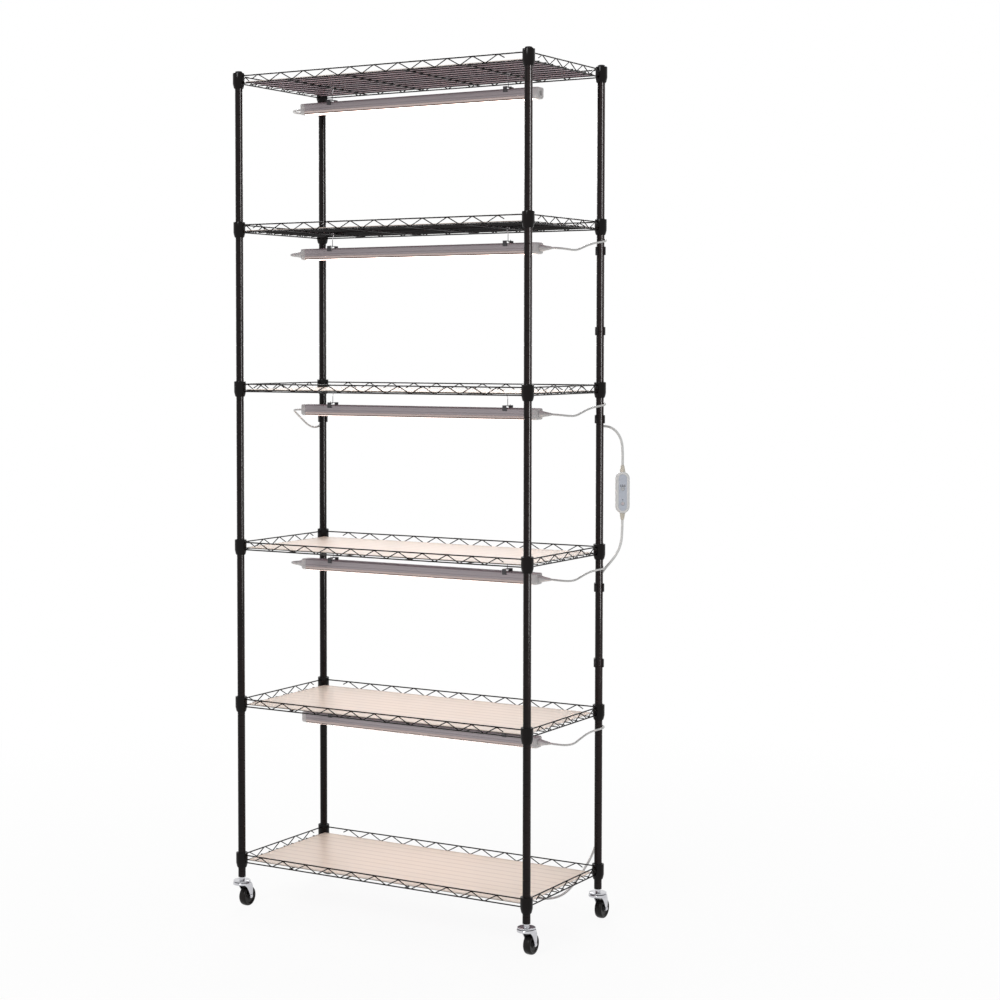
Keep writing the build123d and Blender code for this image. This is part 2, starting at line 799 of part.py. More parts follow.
def coil_point(turn):
    """Where the coil's centre line is after some turns, clockwise from its front."""
    depth = min(turn, coil_turns - turn)
    radius = coil_radius - coil_pitch * depth
    climbed = min(max((turn - (coil_turns - climb_turn_share) / 2) / climb_turn_share, 0.0), 1.0)
    level = coil_level + layer_rise * climbed**2 * (3 - 2 * climbed)
    angle = -math.pi / 2 - 2 * math.pi * turn
    return Vector(
        coil_centre[0] + radius * math.cos(angle), coil_centre[1] + radius * math.sin(angle), level
    )


def coil_heading(turn):
    """The unit direction of the coil's centre line, steady across its ends and its turning back."""
    step = 1e-4
    ahead, behind = min(turn + step, coil_turns), max(turn - step, 0)
    heading = (coil_point(ahead) - coil_point(behind)).normalized()
    if turn in (0, coil_turns):
        return Vector(-1, 0, 0)
    return heading


def biarc(start, start_heading, end, end_heading):
    """Two arcs that join two points and keep both headings."""
    chord = end - start
    headings = start_heading + end_heading
    spread = 2 * (1 - start_heading.dot(end_heading))
    pull = chord.dot(headings)
    reach = (math.sqrt(pull**2 + spread * chord.dot(chord)) - pull) / spread
    joint = (start + end + (start_heading - end_heading) * reach) * 0.5
    first = TangentArc(start, joint, tangent=start_heading)
    second = TangentArc(joint, end, tangent=first % 1)
    return [first, second]


coil_edges = [Line(coil_point(0) + Vector(mains_diameter, 0, 0), coil_point(0))]
for i in range(round(coil_turns / arc_turn_share)):
    start, end = i * arc_turn_share, (i + 1) * arc_turn_share
    coil_edges += biarc(coil_point(start), coil_heading(start), coil_point(end), coil_heading(end))
coil_end = coil_point(coil_turns) - Vector(coil_exit_length, 0, 0)
coil_edges.append(Line(coil_point(coil_turns), coil_end))
coil_path = Wire(coil_edges)
coil_section = Plane(origin=coil_path @ 0, z_dir=coil_path % 0) * RegularPolygon(mains_diameter / 2, coil_sides)
save("mains_coil", [sweep(coil_section, path=coil_path)])
samples = [coil_point(i / 200) for i in range(200 * coil_turns + 1)]
least_gap = min(
    (samples[i] - samples[j]).length
    for i in range(0, len(samples), 4)
    for j in range(i + 100, len(samples), 4)
)
print("coil length", round(coil_path.length), "least gap to itself", round(least_gap - mains_diameter, 2))

# Mains plug: lying flat against the coil's last turn, two blades forward
exit_level = coil_level + layer_rise
plug_thickness = 2 * exit_level
relief = stacked([(0, plug_relief_tip), (plug_relief_length, plug_relief_diameter)], plug_sides, 180 / plug_sides)
body = Pos(0, 0, plug_relief_length) * extrude(Rectangle(plug_thickness, plug_body_width), plug_body_length)
body = chamfer(body.edges().filter_by(Axis.Z), plug_corner)
blades = [
    Pos(0, side * blade_spacing / 2, plug_relief_length + plug_body_length + blade_length / 2)
    * Box(blade_width, blade_thickness, blade_length)
    for side in (-1, 1)
]
at_exit = Pos(coil_end - Vector(cord_gap, 0, 0)) * Rot(0, -90, 0)
save("mains_plug", [at_exit * (relief + body), *[at_exit * b for b in blades]])

# Straps: each holds the cords behind a post
post_ring = ((0.0, 0.0), post_radius)
harness_ring = (harness_offset, harness_diameter / 2)
mains_ring = (mains_offset, mains_diameter / 2)
link_ring = (link_offset, lead_diameter / 2)


def strap(rings):
    """A moulded clip that snaps on to the post from behind and holds the cords beside it."""

    def hull(grown):
        outlines = [
            Pos(x, y) * RegularPolygon(radius + grown, strap_sides, major_radius=False) for (x, y), radius in rings
        ]
        return make_hull([edge for outline in outlines for edge in outline.edges()])

    band = hull(strap_clearance + strap_wall) - hull(strap_clearance)
    mouth = Rot(0, 0, strap_mouth_angle) * Pos(post_radius, 0) * Rectangle(post_diameter, strap_mouth)
    return extrude(band - mouth, strap_height / 2, both=True)


straps = [Pos(*rear_right, z) * strap([post_ring, harness_ring]) for z in upper_strap_heights]
straps += [Pos(*rear_right, z) * strap([post_ring, harness_ring, mains_ring]) for z in lower_strap_heights]
straps.append(Pos(*rear_left, link_strap_height) * strap([post_ring, link_ring]))
save("cable_clips", straps)

# Controller: two shells round a board, a flat panel, two push buttons and ribbed glands.
# It is modelled facing -Y about its own middle, then turned and hung beside the post.
controller_at = Pos(*controller_place) * Rot(0, 0, controller_turn)
shell_depth = (controller_depth - controller_seam) / 2
front_face = -controller_depth / 2
panel_floor = front_face + panel_recess
outer_outline = oblong(controller_length, controller_width, controller_end_sides)
inner_outline = oblong(
    controller_length - 2 * controller_wall, controller_width - 2 * controller_wall, controller_end_sides
)


def forward(face, start, length):
    """A face drawn on the controller's front, extruded towards the front from a depth."""
    return Pos(0, start, 0) * extrude(Plane.XZ * face, length)


button_rises = {"timer_button": timer_button_rise, "power_button": power_button_rise}
lamp_places = [(lamp_pitch * i, lamp_rises[0]) for i in (-1, 0, 1)] + [(0, lamp_rises[1])]
button_bore = button_diameter / 2 + button_clearance
bores = Sketch() + [
    Pos(0, rise) * RegularPolygon(button_bore, button_sides, major_radius=False) for rise in button_rises.values()
]
bores += [Pos(x, rise) * RegularPolygon(lamp_diameter / 2 + button_clearance, cord_sides) for x, rise in lamp_places]
front_shell = forward(outer_outline, -controller_seam / 2, shell_depth)
front_shell = chamfer(front_shell.faces().sort_by(Axis.Y)[0].edges(), controller_edge)
front_shell -= forward(inner_outline, overrun, shell_depth + overrun - controller_front_wall)
recess_outline = oblong(panel_length, panel_width, controller_end_sides)
front_shell -= forward(recess_outline, panel_floor, panel_recess + overrun)
front_shell -= forward(bores, overrun, controller_depth)
back_shell = forward(outer_outline, controller_depth / 2, shell_depth)
back_shell = chamfer(back_shell.faces().sort_by(Axis.Y)[-1].edges(), controller_edge)
back_cavity = controller_depth / 2 - controller_wall
back_shell -= forward(inner_outline, back_cavity, controller_depth)
circuit_back = circuit_depth + circuit_thickness
for x in (-1, 1):
    for z in (-1, 1):
        place = Pos(x * (circuit_width / 2 - board_post_inset), z * (circuit_length / 2 - board_post_inset))
        back_shell += forward(place * Rectangle(board_post_size, board_post_size), back_cavity, back_cavity - circuit_back)
panel_outline = oblong(
    panel_length - 2 * panel_clearance, panel_width - 2 * panel_clearance, controller_end_sides
)
panel = forward(panel_outline - bores, panel_floor, panel_thickness)
save("controller_front", [controller_at * front_shell])
save("controller_back", [controller_at * back_shell])
save("controller_panel", [controller_at * panel])

button_face = panel_floor - panel_thickness - button_proud
flange_start = front_face + controller_front_wall + button_flange_thickness + switch_gap
for name, rise in button_rises.items():
    top = Pos(0, rise) * RegularPolygon(button_diameter / 2, button_sides)
    flange = Pos(0, rise) * RegularPolygon(button_bore + button_flange, button_sides)
    button = forward(top, button_face + button_length, button_length)
    button += forward(flange, flange_start, button_flange_thickness)
    save(name, [controller_at * button])

circuit = forward(Rectangle(circuit_width, circuit_length), circuit_back, circuit_thickness)
switch_face = button_face + button_length + button_travel + switch_gap
for rise in button_rises.values():
    circuit += forward(Pos(0, rise) * Rectangle(switch_size, switch_size), circuit_depth, circuit_depth - switch_face)
for x, rise in lamp_places:
    lamp = Pos(x, rise) * RegularPolygon(lamp_diameter / 2, cord_sides)
    circuit += forward(lamp, circuit_depth, circuit_depth - panel_floor + panel_thickness)
save("controller_board", [controller_at * circuit])

gland_sections = []
for ring in range(gland_rings):
    for share in gland_ring_shares:
        position = (ring + share) / gland_rings
        across = gland_root_diameter + (gland_tip_diameter - gland_root_diameter) * position
        groove = gland_groove if share > gland_ring_shares[1] else 0
        gland_sections.append((position * gland_length, across - 2 * groove))
gland_sections.append((gland_length, gland_tip_diameter))
gland = Pos(0, 0, controller_length / 2) * stacked(gland_sections, gland_sides)
save("controller_glands", [controller_at * gland, controller_at * Rot(180, 0, 0) * gland])
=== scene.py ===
import math
import bmesh
import bpy
from mathutils import Matrix, Vector
from mathutils.geometry import intersect_line_line_2d, tessellate_polygon


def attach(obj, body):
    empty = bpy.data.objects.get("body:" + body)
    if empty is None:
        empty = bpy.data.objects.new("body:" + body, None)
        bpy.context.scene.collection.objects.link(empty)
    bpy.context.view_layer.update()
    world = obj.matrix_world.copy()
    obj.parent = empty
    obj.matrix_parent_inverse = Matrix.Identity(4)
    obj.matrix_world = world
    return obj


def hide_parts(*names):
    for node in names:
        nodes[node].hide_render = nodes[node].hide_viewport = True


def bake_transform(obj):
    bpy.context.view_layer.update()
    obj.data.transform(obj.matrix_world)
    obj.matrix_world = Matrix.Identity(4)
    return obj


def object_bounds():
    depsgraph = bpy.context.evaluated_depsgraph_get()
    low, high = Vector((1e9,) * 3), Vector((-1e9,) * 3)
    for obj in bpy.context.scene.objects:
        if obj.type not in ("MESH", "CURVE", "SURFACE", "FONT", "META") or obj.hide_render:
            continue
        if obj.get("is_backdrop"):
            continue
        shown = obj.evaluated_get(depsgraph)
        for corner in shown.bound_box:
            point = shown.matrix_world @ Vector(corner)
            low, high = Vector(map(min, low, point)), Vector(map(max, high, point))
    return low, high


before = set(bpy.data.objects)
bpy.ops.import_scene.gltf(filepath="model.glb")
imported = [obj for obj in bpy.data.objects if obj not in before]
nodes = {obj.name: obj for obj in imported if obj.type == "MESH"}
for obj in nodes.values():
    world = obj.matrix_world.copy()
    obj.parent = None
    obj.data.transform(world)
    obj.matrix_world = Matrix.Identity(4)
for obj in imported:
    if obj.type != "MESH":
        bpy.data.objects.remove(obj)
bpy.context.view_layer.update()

# The view: the camera stands in front of the right-hand front post, a little below the
# fourth shelf from the floor, and looks almost level.
eye = bpy.data.cameras.new("view")
eye.lens = 75.06
eye.sensor_width = 36.0
eye.shift_x, eye.shift_y = 0.08, -0.0524
eye.clip_start, eye.clip_end = 0.1, 60.0
camera = bpy.data.objects.new("view", eye)
camera.location = (2.43147, -3.93439, 1.27223)
camera.rotation_euler = (math.pi / 2 - 0.04865, 0.0, 0.55256)
bpy.context.scene.collection.objects.link(camera)
bpy.context.scene.camera = camera

# Posts: steel tubes of 17 mm, rolled with a narrow ring groove every 25.4 mm for the
# shelves' sleeves, coated gloss black, and screwed end to end on couplers inside them.
half_x, half_y = 0.3675, 0.1645
corners = {
    "front_left": (-half_x, -half_y),
    "front_right": (half_x, -half_y),
    "rear_right": (half_x, half_y),
    "rear_left": (-half_x, half_y),
}
shelf_heights = (1.8626, 1.5324, 1.1768, 0.8212, 0.4656, 0.11)
post_foot, section_length, seam = 0.07, 0.602, 0.0006
post_radius, post_wall, post_chamfer = 0.0085, 0.001, 0.0005
groove_pitch, groove_width, groove_depth = 0.0254, 0.0014, 0.00045


def around(sides):
    """Even angles once round a circle."""
    return [2 * math.pi * i / sides for i in range(sides)]


def circle(radius, sides, x=0, y=0):
    return [(x + radius * math.cos(a), y + radius * math.sin(a)) for a in around(sides)]


def mm(*spots):
    """Spots in metres from spots in millimetres."""
    return [tuple(round(v / 1000, 7) for v in spot) for spot in spots]


def skin(rings, closed=False):
    """Points and faces of a skin over rings of as many points each, with flat ends."""
    count = len(rings[0])
    points = [Vector(p) for ring in rings for p in ring]
    faces = []
    for i in range(len(rings) if closed else len(rings) - 1):
        a, b = i * count, (i + 1) % len(rings) * count
        faces += [(a + j, a + (j + 1) % count, b + (j + 1) % count, b + j) for j in range(count)]
    if not closed:
        faces += [tuple(range(count)), tuple(range(len(points) - count, len(points)))]
    return points, faces


def turned(profile, sides=24, closed=False):
    """A form turned about +Z through (radius, height) pairs."""
    return skin([[(*spot, height) for spot in circle(radius, sides)] for radius, height in profile], closed)


def placed(form, place=(0, 0, 0), turn=None):
    """A form turned by a matrix and then moved to its place."""
    points, faces = form
    shift = Matrix.Translation(place) @ (turn or Matrix.Identity(4))
    return [shift @ p for p in points], faces


def flipped(form, x=1, y=1, z=1):
    """A form with the axes marked -1 turned round."""
    return [Vector((p.x * x, p.y * y, p.z * z)) for p in form[0]], form[1]


def at_posts(forms):
    return [placed(form, (x, y, 0)) for x, y in corners.values() for form in forms]


def piece(name, forms, finish, body, replaced=(), sharp=35, height=0.0):
    """One object from its forms, riding on its body and standing for its CAD nodes."""
    mesh = bpy.data.meshes.new(name)
    shape = bmesh.new()
    for points, faces in forms:
        made = [shape.verts.new(p) for p in points]
        for face in faces:
            shape.faces.new([made[i] for i in face])
    bmesh.ops.recalc_face_normals(shape, faces=shape.faces)
    shape.to_mesh(mesh)
    shape.free()
    mesh.shade_smooth()
    mesh.set_sharp_from_angle(angle=math.radians(sharp))
    mesh.materials.append(finish)
    return settle(bpy.data.objects.new(name, mesh), body, replaced, height)


def settle(thing, body, replaced=(), height=0.0):
    """Puts a piece on its body, or leaves it in place in the world when it is given no body's name."""
    bpy.context.scene.collection.objects.link(thing)
    thing.location.z = height
    if isinstance(body, str):
        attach(thing, body)
    else:
        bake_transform(thing)
    if replaced:
        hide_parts(*replaced)
    return thing


def new_nodes(tree, *kinds):
    return [tree.nodes.new(f"ShaderNode{kind}") for kind in kinds]


def fill(node, values):
    """Sets a node's inputs by their labels."""
    for label, value in values.items():
        node.inputs[label].default_value = value


def join(tree, *links):
    """Links node outputs to node inputs, each by its label or its place."""
    for source, output, target, entry in links:
        tree.links.new(source.outputs[output], target.inputs[entry])


def shader_of(finish):
    return finish.node_tree.nodes["Principled BSDF"]


def new_finish(name, colour, roughness, metallic=0.0, coat=0.0, specular=0.5):
    """A material with its even values on the shader itself."""
    finish = bpy.data.materials.new(name)
    finish.use_nodes = True
    fill(shader_of(finish), {"Base Color": (*colour, 1.0), "Roughness": roughness, "Metallic": metallic})
    fill(shader_of(finish), {"Coat Weight": coat, "Coat Roughness": 0.08, "Specular IOR Level": specular})
    return finish


# The skin of cast, coated or moulded pieces: fine relief, uneven gloss and a drift of
# colour. Every finish of the stand has it, with its own values.
moulded_skin = bpy.data.node_groups.new("moulded_skin", "ShaderNodeTree")
for way, kind, labels in (
    ("INPUT", "Float", ("Relief Size", "Drift Size", "Gloss Low", "Gloss High", "Stretch")),
    ("INPUT", "Color", ("Colour", "Drift Colour")),
    ("OUTPUT", "Color", ("Colour",)),
    ("OUTPUT", "Float", ("Roughness", "Height")),
):
    for label in labels:
        moulded_skin.interface.new_socket(label, in_out=way, socket_type=f"NodeSocket{kind}")
given, made = (moulded_skin.nodes.new(f"NodeGroup{way}") for way in ("Input", "Output"))
where, along, squeeze, relief, drift, blend, gloss = new_nodes(
    moulded_skin, "TexCoord", "CombineXYZ", "VectorMath", "TexNoise", "TexNoise", "Mix", "MapRange"
)
squeeze.operation, blend.data_type = "MULTIPLY", "RGBA"
fill(along, {"Y": 1.0, "Z": 1.0})
fill(gloss, {"From Min": 0.3, "From Max": 0.7})
fill(relief, {"Detail": 3.0})
fill(drift, {"Detail": 5.0})
join(
    moulded_skin,
    (given, "Stretch", along, "X"),
    (where, "Object", squeeze, 0),
    (along, "Vector", squeeze, 1),
    (squeeze, "Vector", relief, "Vector"),
    (squeeze, "Vector", drift, "Vector"),
    (given, "Relief Size", relief, "Scale"),
    (given, "Drift Size", drift, "Scale"),
    (drift, "Fac", blend, "Factor"),
    (given, "Colour", blend, "A"),
    (given, "Drift Colour", blend, "B"),
    (drift, "Fac", gloss, "Value"),
    (given, "Gloss Low", gloss, "To Min"),
    (given, "Gloss High", gloss, "To Max"),
    (blend, "Result", made, "Colour"),
    (gloss, "Result", made, "Roughness"),
    (relief, "Fac", made, "Height"),
)


def skinned(name, colour, drift, gloss, grain=900.0, relief=0.1, spread=14.0, stretch=1.0, **even):
    """A finish under the moulded skin: its relief has a grain, its drift of colour a spread."""
    finish = new_finish(name, colour, gloss[0], **even)
    group, bump = new_nodes(finish.node_tree, "Group", "Bump")
    group.node_tree = moulded_skin
    fill(group, {"Relief Size": grain, "Drift Size": spread, "Stretch": stretch})
    fill(group, {"Gloss Low": gloss[0], "Gloss High": gloss[1]})
    fill(group, {"Colour": (*colour, 1.0), "Drift Colour": (*drift, 1.0)})
    fill(bump, {"Strength": relief, "Distance": 0.0002})
    join(
        finish.node_tree,
        (group, "Height", bump, "Height"),
        (bump, "Normal", shader_of(finish), "Normal"),
        (group, "Colour", shader_of(finish), "Base Color"),
        (group, "Roughness", shader_of(finish), "Roughness"),
    )
    return finish


black_coat = skinned(
    "gloss_black_coat", (0.002, 0.0015, 0.0015), (0.007, 0.004, 0.004), (0.1, 0.22),
    grain=1400.0, relief=0.12, specular=0.14,
)


def grooved(foot, top):
    """The outline of one tube, with a groove at each shelf level and between them."""
    shoulder, bore, plain_end = post_radius - post_chamfer, post_radius - post_wall, 0.004
    outline = [(shoulder, foot), (post_radius, foot + post_chamfer)]
    first = math.ceil((foot + plain_end - shelf_heights[-1]) / groove_pitch)
    last = math.floor((top - plain_end - shelf_heights[-1]) / groove_pitch)
    for step in range(first, last + 1):
        middle = shelf_heights[-1] + step * groove_pitch
        for offset, depth in ((-0.5, 0), (-0.2, 1), (0.2, 1), (0.5, 0)):
            outline.append((post_radius - depth * groove_depth, middle + offset * groove_width))
    return outline + [(post_radius, top - post_chamfer), (shoulder, top), (bore, top), (bore, foot)]


posts = bpy.data.collections.new("posts")
coupler_radius, coupler_half = 0.0073, 0.023
for place, name in enumerate(("posts_lower", "posts_middle", "posts_upper")):
    foot = post_foot + place * section_length
    top = foot + section_length - seam
    parts = [turned(grooved(foot, top), closed=True)]
    if place < 2:
        middle = top + seam / 2
        parts.append(turned([(coupler_radius, middle + end) for end in (-coupler_half, coupler_half)]))
    posts.objects.link(piece(f"{name}_grooved", at_posts(parts), black_coat, "stand", [name]))

# Post caps: a black moulded plug in the top of each post, its low head level with the
# tube and rounded at the shoulder.
post_top = post_foot + 3 * section_length - seam
black_plastic = skinned(
    "black_moulded_plastic", (0.003, 0.002, 0.002), (0.009, 0.007, 0.007), (0.32, 0.48),
    grain=2200.0, relief=0.2, specular=0.16,
)
cap_outline = mm((7.4, -14), (7.4, 0), (8.5, 0), (8.5, 4.4), (8.2, 5.8), (7.4, 7), (6, 7.7), (3.5, 8))
cap = placed(turned(cap_outline), (0, 0, post_top))
piece("post_caps_moulded", at_posts([cap]), black_plastic, "stand", ["post_caps"])

# Casters: a plated stem with an upper plate sits fixed in each post. Under it a pressed
# fork turns on a ring of balls, and its two swept legs hold a black wheel on an axle.
axle_level, trail = 0.0225, 0.02
leg_inner, fork_wall = 0.0097, 0.0018
chrome = skinned(
    "plated_steel", (0.7, 0.7, 0.72), (0.42, 0.42, 0.45), (0.06, 0.16),
    grain=500.0, relief=0.04, spread=60.0, metallic=1.0,
)
wheel_black = skinned(
    "black_wheel_rubber", (0.002, 0.002, 0.002), (0.01, 0.007, 0.006), (0.2, 0.4),
    grain=1800.0, relief=0.25, spread=40.0, specular=0.2,
)
stem_outline = mm(
    (6.4, 54), (6.4, 55.7), (4, 55.8), (4, 60.2), (18.6, 60.2), (19.4, 60.8), (19.5, 61.8), (19.1, 62.9),
    (18.2, 63.5), (16.5, 63.6), (9.8, 63.1), (6.8, 63.6), (6, 64.5), (5.8, 69.8), (7, 70), (7, 93),
    (6.2, 94),
)
stems = at_posts([turned(stem_outline, 32)])
piece("caster_stems_plated", stems, chrome, "stand", ["caster_stems"])


def across_x(form, place=(0, 0, 0)):
    """A form turned from +Z to lie along +X."""
    return placed(form, place, Matrix.Rotation(math.pi / 2, 4, "Y"))


def smoothed(points, steps=4):
    """A Catmull-Rom line through the points, for a pressed edge."""
    line = []
    for i in range(len(points) - 1):
        a, b, c, d = (Vector(points[max(0, min(len(points) - 1, i + j))]) for j in (-1, 0, 1, 2))
        for s in range(steps):
            t = s / steps
            bend = (2 * a - 5 * b + 4 * c - d) * t * t + (3 * b - a - 3 * c + d) * t**3
            line.append(0.5 * (2 * b + (c - a) * t + bend))
    return line + [Vector(points[-1])]


eye_radius, edge_pull = 0.0052, 0.06
front_edge = mm((-16.8, 58), (-5.8, 52.3), (3.7, 45.2), (11, 34.6), (15.5, 25.1))
back_edge = mm((24.5, 25.1), (25.9, 31), (26.1, 42), (22.8, 52), (16.8, 58))
eye_angles = [math.radians(a) for a in range(165, 386, 20)]
eye_edge = [
    Vector((trail + eye_radius * math.cos(a), axle_level + eye_radius * math.sin(a))) for a in eye_angles
]
leg_edge = smoothed(front_edge) + eye_edge + smoothed(back_edge)
leg_middle = sum(leg_edge, Vector((0, 0))) / len(leg_edge)
leg_rings = []
for share, inset in ((0.0, 0.25), (0.25, 0.0), (0.75, 0.0), (1.0, 0.25)):
    line = [leg_middle + (p - leg_middle) * (1 - inset * edge_pull) for p in leg_edge]
    leg_rings.append([(leg_inner + share * fork_wall, p.x, p.y) for p in line])
leg = skin(leg_rings)
cup = mm(
    (4.3, 57), (18.3, 57), (18.7, 56.6), (18.7, 53.8), (20.5, 53.8), (20.5, 57.4), (20.1, 58.4),
    (19.2, 59), (13.5, 59.1), (13, 59.9), (4.3, 59.9),
)
axle_outline = mm((2, -13.2), (3.4, -13), (3.8, -12.2), (3.8, -11.6), (2.5, -11.5))
axle_outline += [(r, -h) for r, h in axle_outline[::-1]]
wheel_outline = mm(
    (2.8, -7.8), (6.8, -7.8), (7.6, -7), (8.4, -5.8), (15, -5.8), (16.2, -7), (17.8, -8.3), (19.2, -8.5),
    (20.8, -7.7), (21.9, -6), (22.4, -3.4), (22.5, 0),
)
wheel_outline += [(r, -h) for r, h in wheel_outline[-2::-1]]
axle = across_x(turned(axle_outline), (0, trail, axle_level))
tyre = across_x(turned(wheel_outline, 64, True), (0, trail, axle_level))
fork = (turned(cup, 48, True), leg, flipped(leg, x=-1), axle)
for corner, (x, y) in corners.items():
    for kind, label, forms, finish, slot in (
        ("fork", "pressed", fork, chrome, "caster_steel"),
        ("wheel", "turned", [tyre], wheel_black, "wheel_rubber"),
    ):
        moved, body = [placed(form, (x, y, 0)) for form in forms], f"{kind}_{corner}"
        piece(f"{body}_{label}", moved, finish, body, [f"caster_{corner}_{kind}"])

# Wire shelves: two round wires run round each shelf with a zigzag wire welded to their
# outer faces, 4 bars cross it, and 11 thin wires lie on the bars. A coned collar is
# welded in at each corner, and the whole shelf is coated gloss black.
top_wire, low_wire, deck_pitch = 0.01025, -0.00625, 0.03
deck_level, bar_level, liner_level = -0.0036, -0.00625, -0.00245
bar_places = (-0.23775, -0.08525, 0.06725, 0.21975)
truss_rise = top_wire - low_wire
frame_radius, truss_radius = 0.0015, 0.00115


def wire(points, radius, sides=8):
    """A round wire along its points, with its ends a little rounded."""
    line = [Vector(p) for p in points]
    runs = [(b - a).normalized() for a, b in zip(line, line[1:])]
    upright = Vector((0, 0, 1)) if abs(runs[0].z) < 0.9 else Vector((1, 0, 0))
    rings = []
    for i, point in enumerate(line):
        heading = (runs[max(i - 1, 0)] + runs[min(i, len(runs) - 1)]).normalized()
        upright = (upright - heading * upright.dot(heading)).normalized()
        side = heading.cross(upright)
        ring = [point + radius * (math.cos(a) * upright + math.sin(a) * side) for a in around(sides)]
        if i in (0, len(line) - 1):
            tip = [point + (p - point) * 0.6 for p in ring]
            back = heading * radius * (0.4 if i == 0 else -0.4)
            shoulder = [p + back for p in ring]
            rings += [tip, shoulder] if i == 0 else [shoulder, tip]
        else:
            rings.append(ring)
    return skin(rings)


def bent(start, corner, end, steps):
    """A quadratic curve from start to end, drawn towards the corner."""
    shares = [i / steps for i in range(steps + 1)]
    return [start * (1 - t) ** 2 + corner * 2 * t * (1 - t) + end * t * t for t in shares]


def bends(points, radius, steps=4):
    """The corners of a bent wire rounded to a radius."""
    line = [Vector(points[0])]
    for before, corner, after in zip(points, points[1:], points[2:]):
        before, corner, after = Vector(before), Vector(corner), Vector(after)
        start = corner + (before - corner).normalized() * radius
        end = corner + (after - corner).normalized() * radius
        line += bent(start, corner, end, steps)
    return line + [Vector(points[-1])]


# Each truss has its number of peaks, their pitch and the first one's distance from the post.
long_truss, short_truss = (11, 0.061, 0.0548), (5, 0.0615, 0.053)


def truss(length, offset, out, peaks, pitch, first_peak):
    """Both straight wires of one side and the zigzag on their outer faces."""
    out, post_clearance, bend_radius = Vector(out), 0.012, 0.004
    along = Vector((0, 0, 1)).cross(out)
    end = length / 2 - post_clearance
    forms = []
    for level in (low_wire, top_wire):
        middle = out * offset + Vector((0, 0, level))
        forms.append(wire([middle - along * end, middle + along * end], frame_radius, 10))
    start, reach = first_peak - length / 2, pitch / 4
    turns = [(start - reach, truss_rise / 2)]
    for i in range(peaks):
        turns += [(start + i * pitch, truss_rise), (start + (i + 0.5) * pitch, 0.0)]
    turns[-1] = (start + (peaks - 1) * pitch + reach, truss_rise / 2)
    face = out * (offset + frame_radius + truss_radius)
    route = [face + along * x + Vector((0, 0, low_wire + z)) for x, z in turns]
    return forms + [wire(bends(route, bend_radius), truss_radius)]


collar = mm(
    (10.4, -16), (11, -16.5), (11.3, -15.8), (13, -8.5), (13.3, -7.2), (13.3, 15.2), (13, 16.2),
    (12.2, 16.5), (10.2, 16.2), (10.1, 0),
)


def shelf_forms():
    """The wires, bars and collars of one shelf, about the middle height of its collars."""
    forms = []
    for side in (-1, 1):
        forms += truss(2 * half_x, half_y, (0, side, 0), *long_truss)
        forms += truss(2 * half_y, half_x, (side, 0, 0), *short_truss)
    end = half_x + 0.0012
    for y in (deck_pitch * i for i in range(-5, 6)):
        forms.append(wire([(-end, y, deck_level), (end, y, deck_level)], truss_radius))
    end = half_y - 0.0004
    for x in bar_places:
        forms.append(wire([(x, -end, bar_level), (x, end, bar_level)], frame_radius, 10))
    return forms + at_posts([turned(collar, 32, True)])


top_height, *lower_heights = shelf_heights
shelf = piece("shelf_1_wires", shelf_forms(), black_coat, "stand", ["shelf_1"], 40, top_height)
for number, height in enumerate(lower_heights, start=2):
    same = bpy.data.objects.new(f"shelf_{number}_wires", shelf.data)
    settle(same, "stand", [f"shelf_{number}"], height)

# Split sleeves: two black half shells clamp each post inside a collar. They are thicker
# at the foot, so the shelf's weight wedges them, and a rib in each sits in a groove.
sleeve = mm((8.65, -18), (10, -18), (10.18, -17.4), (9.78, 16.9), (9.62, 17.5), (8.65, 17.5))


def half_shell(middle_angle, height):
    """Half a sleeve, with a narrow slit left at each of its edges."""
    slit = 0.055
    reach = math.pi / 2 - slit
    steps = [middle_angle - reach + 2 * reach * i / 10 for i in range(11)]
    return skin([[(r * math.cos(a), r * math.sin(a), height + z) for r, z in sleeve] for a in steps])


sleeves = [half_shell(middle, height) for height in shelf_heights for middle in (0, math.pi)]
piece("split_sleeves_moulded", at_posts(sleeves), black_plastic, "stand", ["split_sleeves"])

# Liners: a milky plastic sheet cut to lie on the deck wires inside each shelf's raised
# rim. The wires under it show through faintly, and painted shade lines darken the sheet
# over each of them.
liner_x, liner_y, liner_corner, liner_thickness = 0.3575, 0.1545, 0.005, 0.001
# The sheet's warm cream colour is partly its own and partly painted light: the warm tint that the lamps
# above cast on it.
liner_finish = skinned(
    "milky_sheet", (0.94, 0.81, 0.69), (0.91, 0.78, 0.66), (0.28, 0.46),
    grain=700.0, relief=0.12, spread=5.0, specular=0.25,
)
fill(shader_of(liner_finish), {"Alpha": 0.8})


def multiplied(finish, shade):
    """Multiplies a finish's base colour by a second colour."""
    tree, shader = finish.node_tree, shader_of(finish)
    (shaded,) = new_nodes(tree, "Mix")
    shaded.data_type, shaded.blend_type = "RGBA", "MULTIPLY"
    fill(shaded, {"Factor": 1.0})
    tree.links.new(shader.inputs["Base Color"].links[0].from_socket, shaded.inputs["A"])
    join(tree, (shade, "Color", shaded, "B"), (shaded, "Result", shader, "Base Color"))


def ramped(finish, coordinate, axis, operation, number, stops):
    """A ramp of colours along one axis of a coordinate, after one sum with a number."""
    tree = finish.node_tree
    where, parts, changed, ramp = new_nodes(tree, "TexCoord", "SeparateXYZ", "Math", "ValToRGB")
    changed.operation = operation
    changed.inputs[1].default_value = number
    for stop, (share, colour) in enumerate(stops):
        mark = ramp.color_ramp.elements[stop] if stop < 2 else ramp.color_ramp.elements.new(share)
        mark.position, mark.color = share, (*colour, 1.0)
    join(tree, (where, coordinate, parts, 0), (parts, axis, changed, 0), (changed, "Value", ramp, "Fac"))
    return ramp


